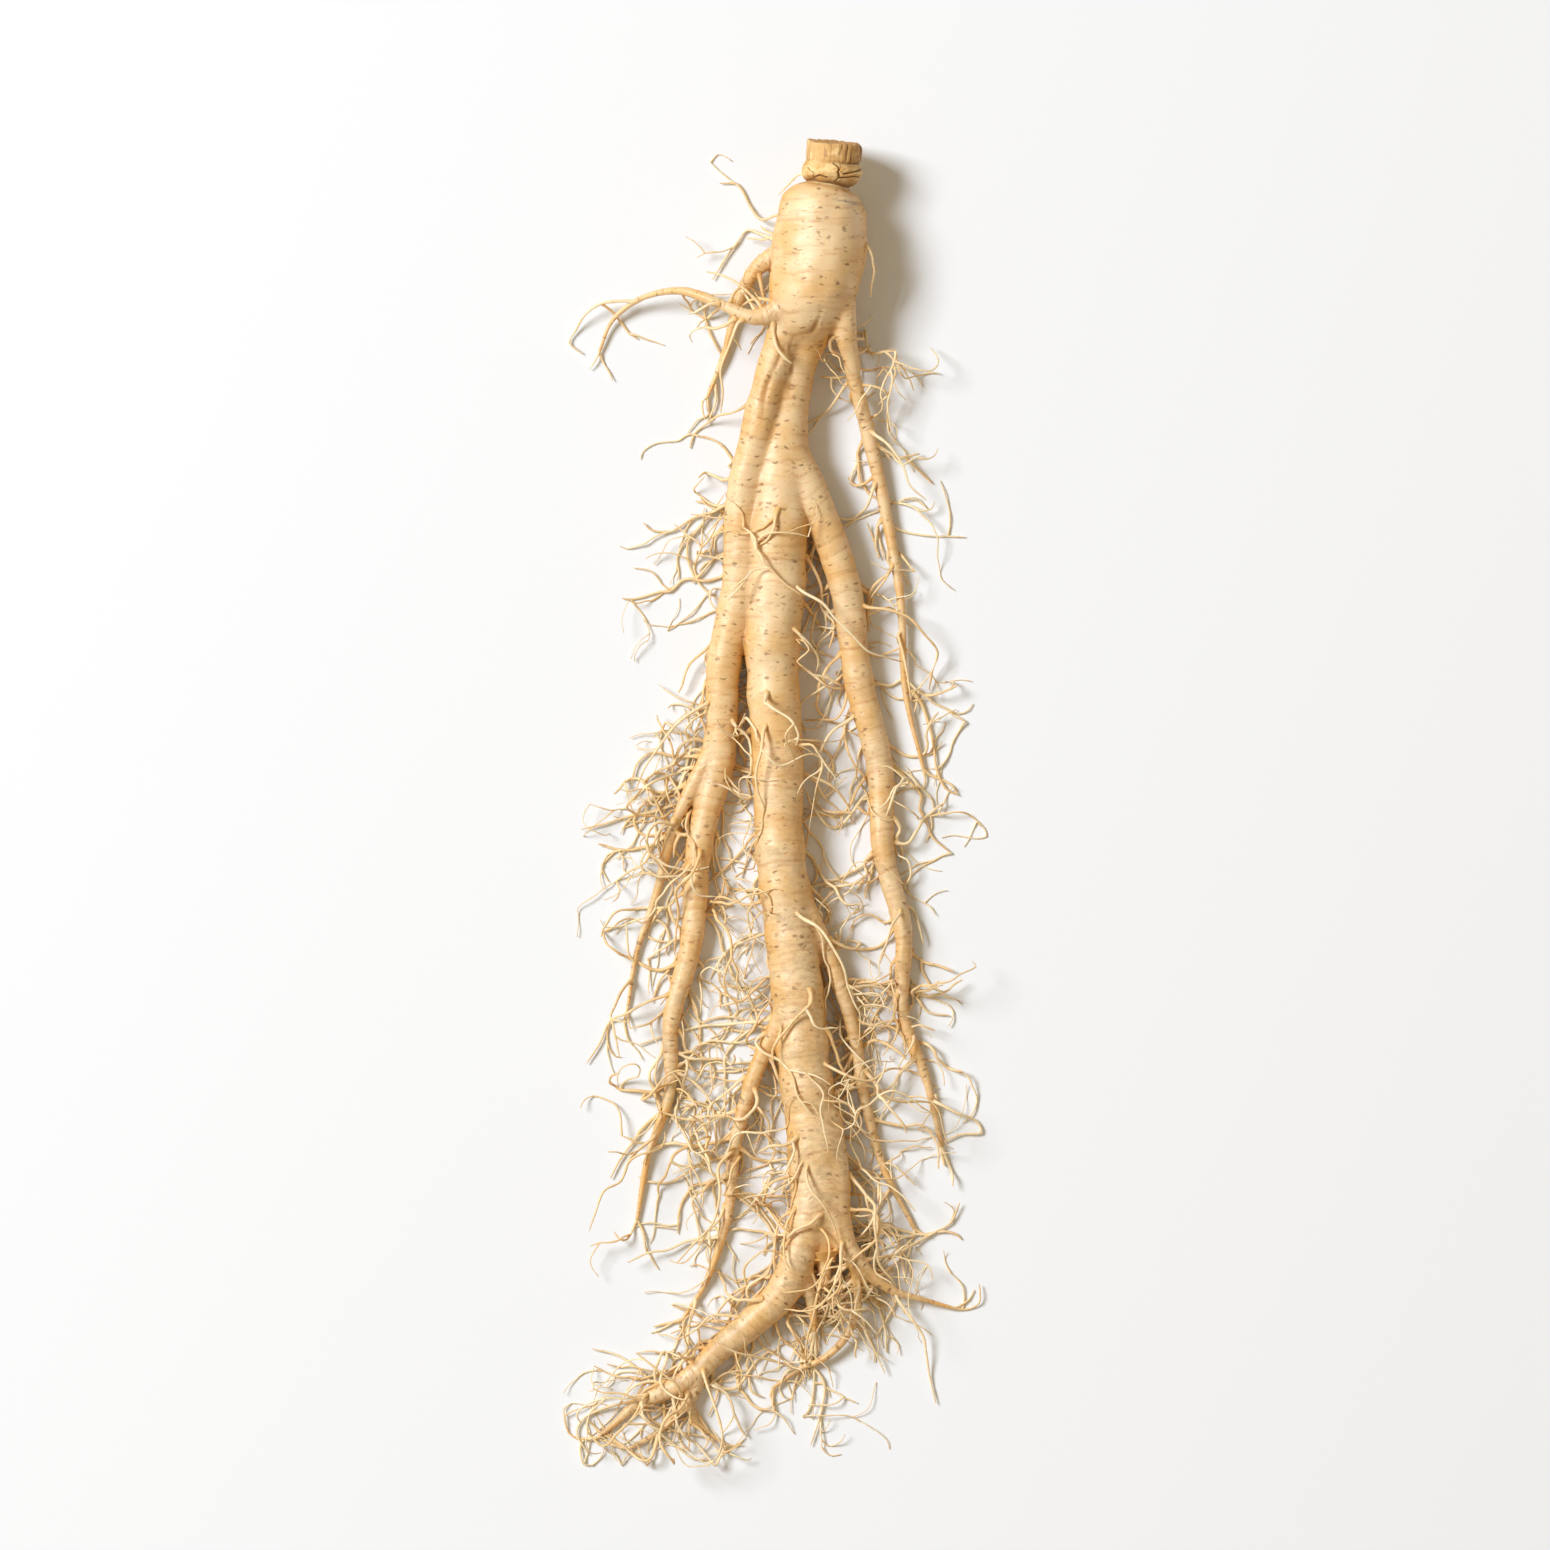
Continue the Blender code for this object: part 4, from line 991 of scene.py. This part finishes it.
def wandering(places, headings, counts, radii):
    """Kinked lines that start at these places, kept out of the flesh, in the box and off the surface."""
    lines, bends = [places], np.zeros_like(places)
    shyness = draw.uniform(*EDGE_PUSH, (len(places), 1))
    for _ in range(max(counts)):
        bends = KEPT_BEND * bends + draw.normal(size=places.shape) * FINE_KINK
        edge = np.clip(1 - (places - box_low) / EDGE_NEAR, 0, 1)
        edge -= np.clip(1 - (box_high - places) / EDGE_NEAR, 0, 1)
        headings = unit(headings + bends + FINE_PULL + shyness * edge * (1, 1, 0))
        places = places + headings * FINE_STEP * draw.uniform(*FINE_STEP_RANGE, (len(places), 1))
        found = nearest_flesh(places)
        short = np.clip(radii - found["gap"], 0.0, None)[:, None]
        places = places + short * found["out"]
        inward = np.minimum((headings * found["out"]).sum(axis=1, keepdims=True), 0.0) * (short > 0)
        near = np.clip(1 - (found["gap"] - radii) / FLESH_NEAR, 0.0, 1.0)[:, None]
        headings = unit(headings + (FLESH_PUSH * near - INWARD_PUSH * inward) * found["out"])
        outside = (places < box_low) | (places > box_high)
        headings = np.where(outside, -headings, headings)
        places = np.clip(places, box_low, box_high)
        places[:, 2] = np.maximum(places[:, 2], radii + GROUND_GAP)
        lines.append(places)
    return [np.array([spots[i] for spots in lines[:count + 1]]) for i, count in enumerate(counts)]


def grown_from(sprouts):
    """The rootlets that these sprouts grow into: each says its start, heading, count of steps and radius."""
    starts, headings, counts, radii = zip(*sprouts)
    lines = wandering(np.array(starts), np.array(headings), counts, np.array(radii))
    return [{"line": line, "start": radius, "tip": FINE_TIP * radius} for line, radius in zip(lines, radii)]


sprouts = []
for end in thin_ends:
    for _ in range(TIP_ROOTLETS):
        heading = unit(end["line"][-1] - end["line"][-2]) + draw.normal(size=3) * TIP_SPREAD
        steps = int(draw.integers(*TIP_STEPS))
        sprouts.append((end["line"][-1], heading, steps, TIP_THICKNESS * end["radius"][-1]))
for name, (count, least, most) in FINE_ROOTLETS.items():
    line, radius = routes[name]["line"], routes[name]["radius"]
    for i in range(count):
        share = FIRST_FINE + FINE_SPAN * (i + draw.random()) / count
        index = min(len(line) - 2, int(share * (len(line) - 1)))
        along = unit(line[index + 1] - line[index])
        side = unit(np.cross(along, (0.0, 0.0, 1.0)))
        turn = GOLDEN_ANGLE * i + draw.uniform(-FINE_TURN, FINE_TURN)
        if math.sin(turn) > ON_TOP and draw.random() > TOP_SHARE:
            turn = -turn
        out = math.cos(turn) * side + math.sin(turn) * np.cross(side, along)
        start = line[index] + (radius[index] - FOOT_DEPTH) * out
        heading = out + draw.uniform(*FINE_LEAN) * along
        sprouts.append((start, heading, int(draw.integers(least, most)), draw.uniform(*FINE_RADII)))
rootlets += grown_from(sprouts)

parents = rootlets
for count in BRANCHES:
    lengths = np.array([len(parent["line"]) for parent in parents], float)
    sprouts = []
    for i in draw.choice(len(parents), count, p=lengths / lengths.sum()):
        line = parents[i]["line"]
        index = int(draw.integers(1, len(line)))
        heading = unit(line[index] - line[index - 1]) + draw.normal(size=3) * BRANCH_SPREAD
        steps = int(draw.integers(SHORTEST_BRANCH, int(np.clip(len(line), *BRANCH_LIMITS))))
        share = index / len(line)
        radius = parents[i]["start"] * (1 - share) + parents[i]["tip"] * share
        sprouts.append((line[index], heading, steps, radius * draw.uniform(*BRANCH_THICKNESS)))
    parents = grown_from(sprouts)
    rootlets = rootlets + parents

# The rootlets' finish: paler and more even than the skin, from cream to a warm straw, tan where they
# leave the flesh, and browner at some tips
ROOTLET_CREAM, ROOTLET_STRAW = (0.95, 0.80, 0.55, 1.0), (0.86, 0.61, 0.31, 1.0)
ROOTLET_BROWN = (0.50, 0.27, 0.09, 1.0)
rootlet_finish, shader, wire = finish_of("rootlet_skin", Subsurface_Weight=0.2, Specular_IOR_Level=0.45,
                                         Subsurface_Radius=(1.0, 0.45, 0.15), Subsurface_Scale=0.0006)
bands = wire.bands(across=1.2, along=0.6, detail=3.0)
colour = wire.said("tone").mix(ROOTLET_CREAM, ROOTLET_STRAW)
colour = (wire.said("foot") * 0.8).mix(colour, TAN)
colour = (bands.step(0.54, 0.74) * 0.35).mix(colour, ROOTLET_BROWN)
colour = (wire.said("share").step(0.8, 1.0) * 0.3).mix(colour, ROOTLET_BROWN)
feed(shader, Base_Color=colour, Roughness=0.48 + bands * 0.15, Normal=bands.bump(0.00015, 0.5))

ROOTLET_GROUPS = 3
ROOTLET_SIDES = 5
STRAND_STEP = 1.0
FOOT_FLARE, FOOT_LENGTH, FOOT_REACH = 0.75, 0.5, 6.0   # how it widens near the flesh that it leaves
START_FLARE, START_LENGTH = 0.3, 0.8                   # how it widens at its very start, also on a rootlet
UNEVENNESS = 0.09
TIP_TAPER = (0.85, 0.6)
THINNEST_ROOTLET = 0.1
lines = [np.array(catmull_rom(rootlet["line"].tolist(), STRAND_STEP)) for rootlet in rootlets]
gaps = np.split(nearest_flesh(np.concatenate(lines))["gap"], np.cumsum([len(line) for line in lines])[:-1])
strands = [[] for _ in range(ROOTLET_GROUPS)]
for number, (rootlet, fine, gap) in enumerate(zip(rootlets, lines, gaps)):
    share = np.linspace(0.0, 1.0, len(fine))
    radius = rootlet["start"] + (rootlet["tip"] - rootlet["start"]) * share
    reach = np.linalg.norm(fine - fine[0], axis=1)
    foot = np.exp(-np.maximum(gap, 0.0) / FOOT_LENGTH) * np.exp(-(reach / FOOT_REACH) ** 4)
    flare = 1 + FOOT_FLARE * foot + START_FLARE * np.exp(-reach / START_LENGTH)
    radius *= flare + UNEVENNESS * draw.normal(size=len(fine))
    radius[-len(TIP_TAPER):] *= TIP_TAPER
    along = CROWN_TOP - fine[0, 1] + np.arange(len(fine)) * STRAND_STEP
    strands[number % ROOTLET_GROUPS].append({
        "line": fine, "radius": np.maximum(radius, THINNEST_ROOTLET), "along": along, "share": share,
        "foot": foot, "tone": draw.random(),
    })
for number, group in enumerate(strands):
    piece = line_mesh(f"rootlets_{number + 1}", group)
    grown_by(grow_along_lines, piece, Sides=ROOTLET_SIDES, Lowest=LOWEST * MM, Finish=rootlet_finish)
    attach(piece, "root")
    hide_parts("ginseng_root")
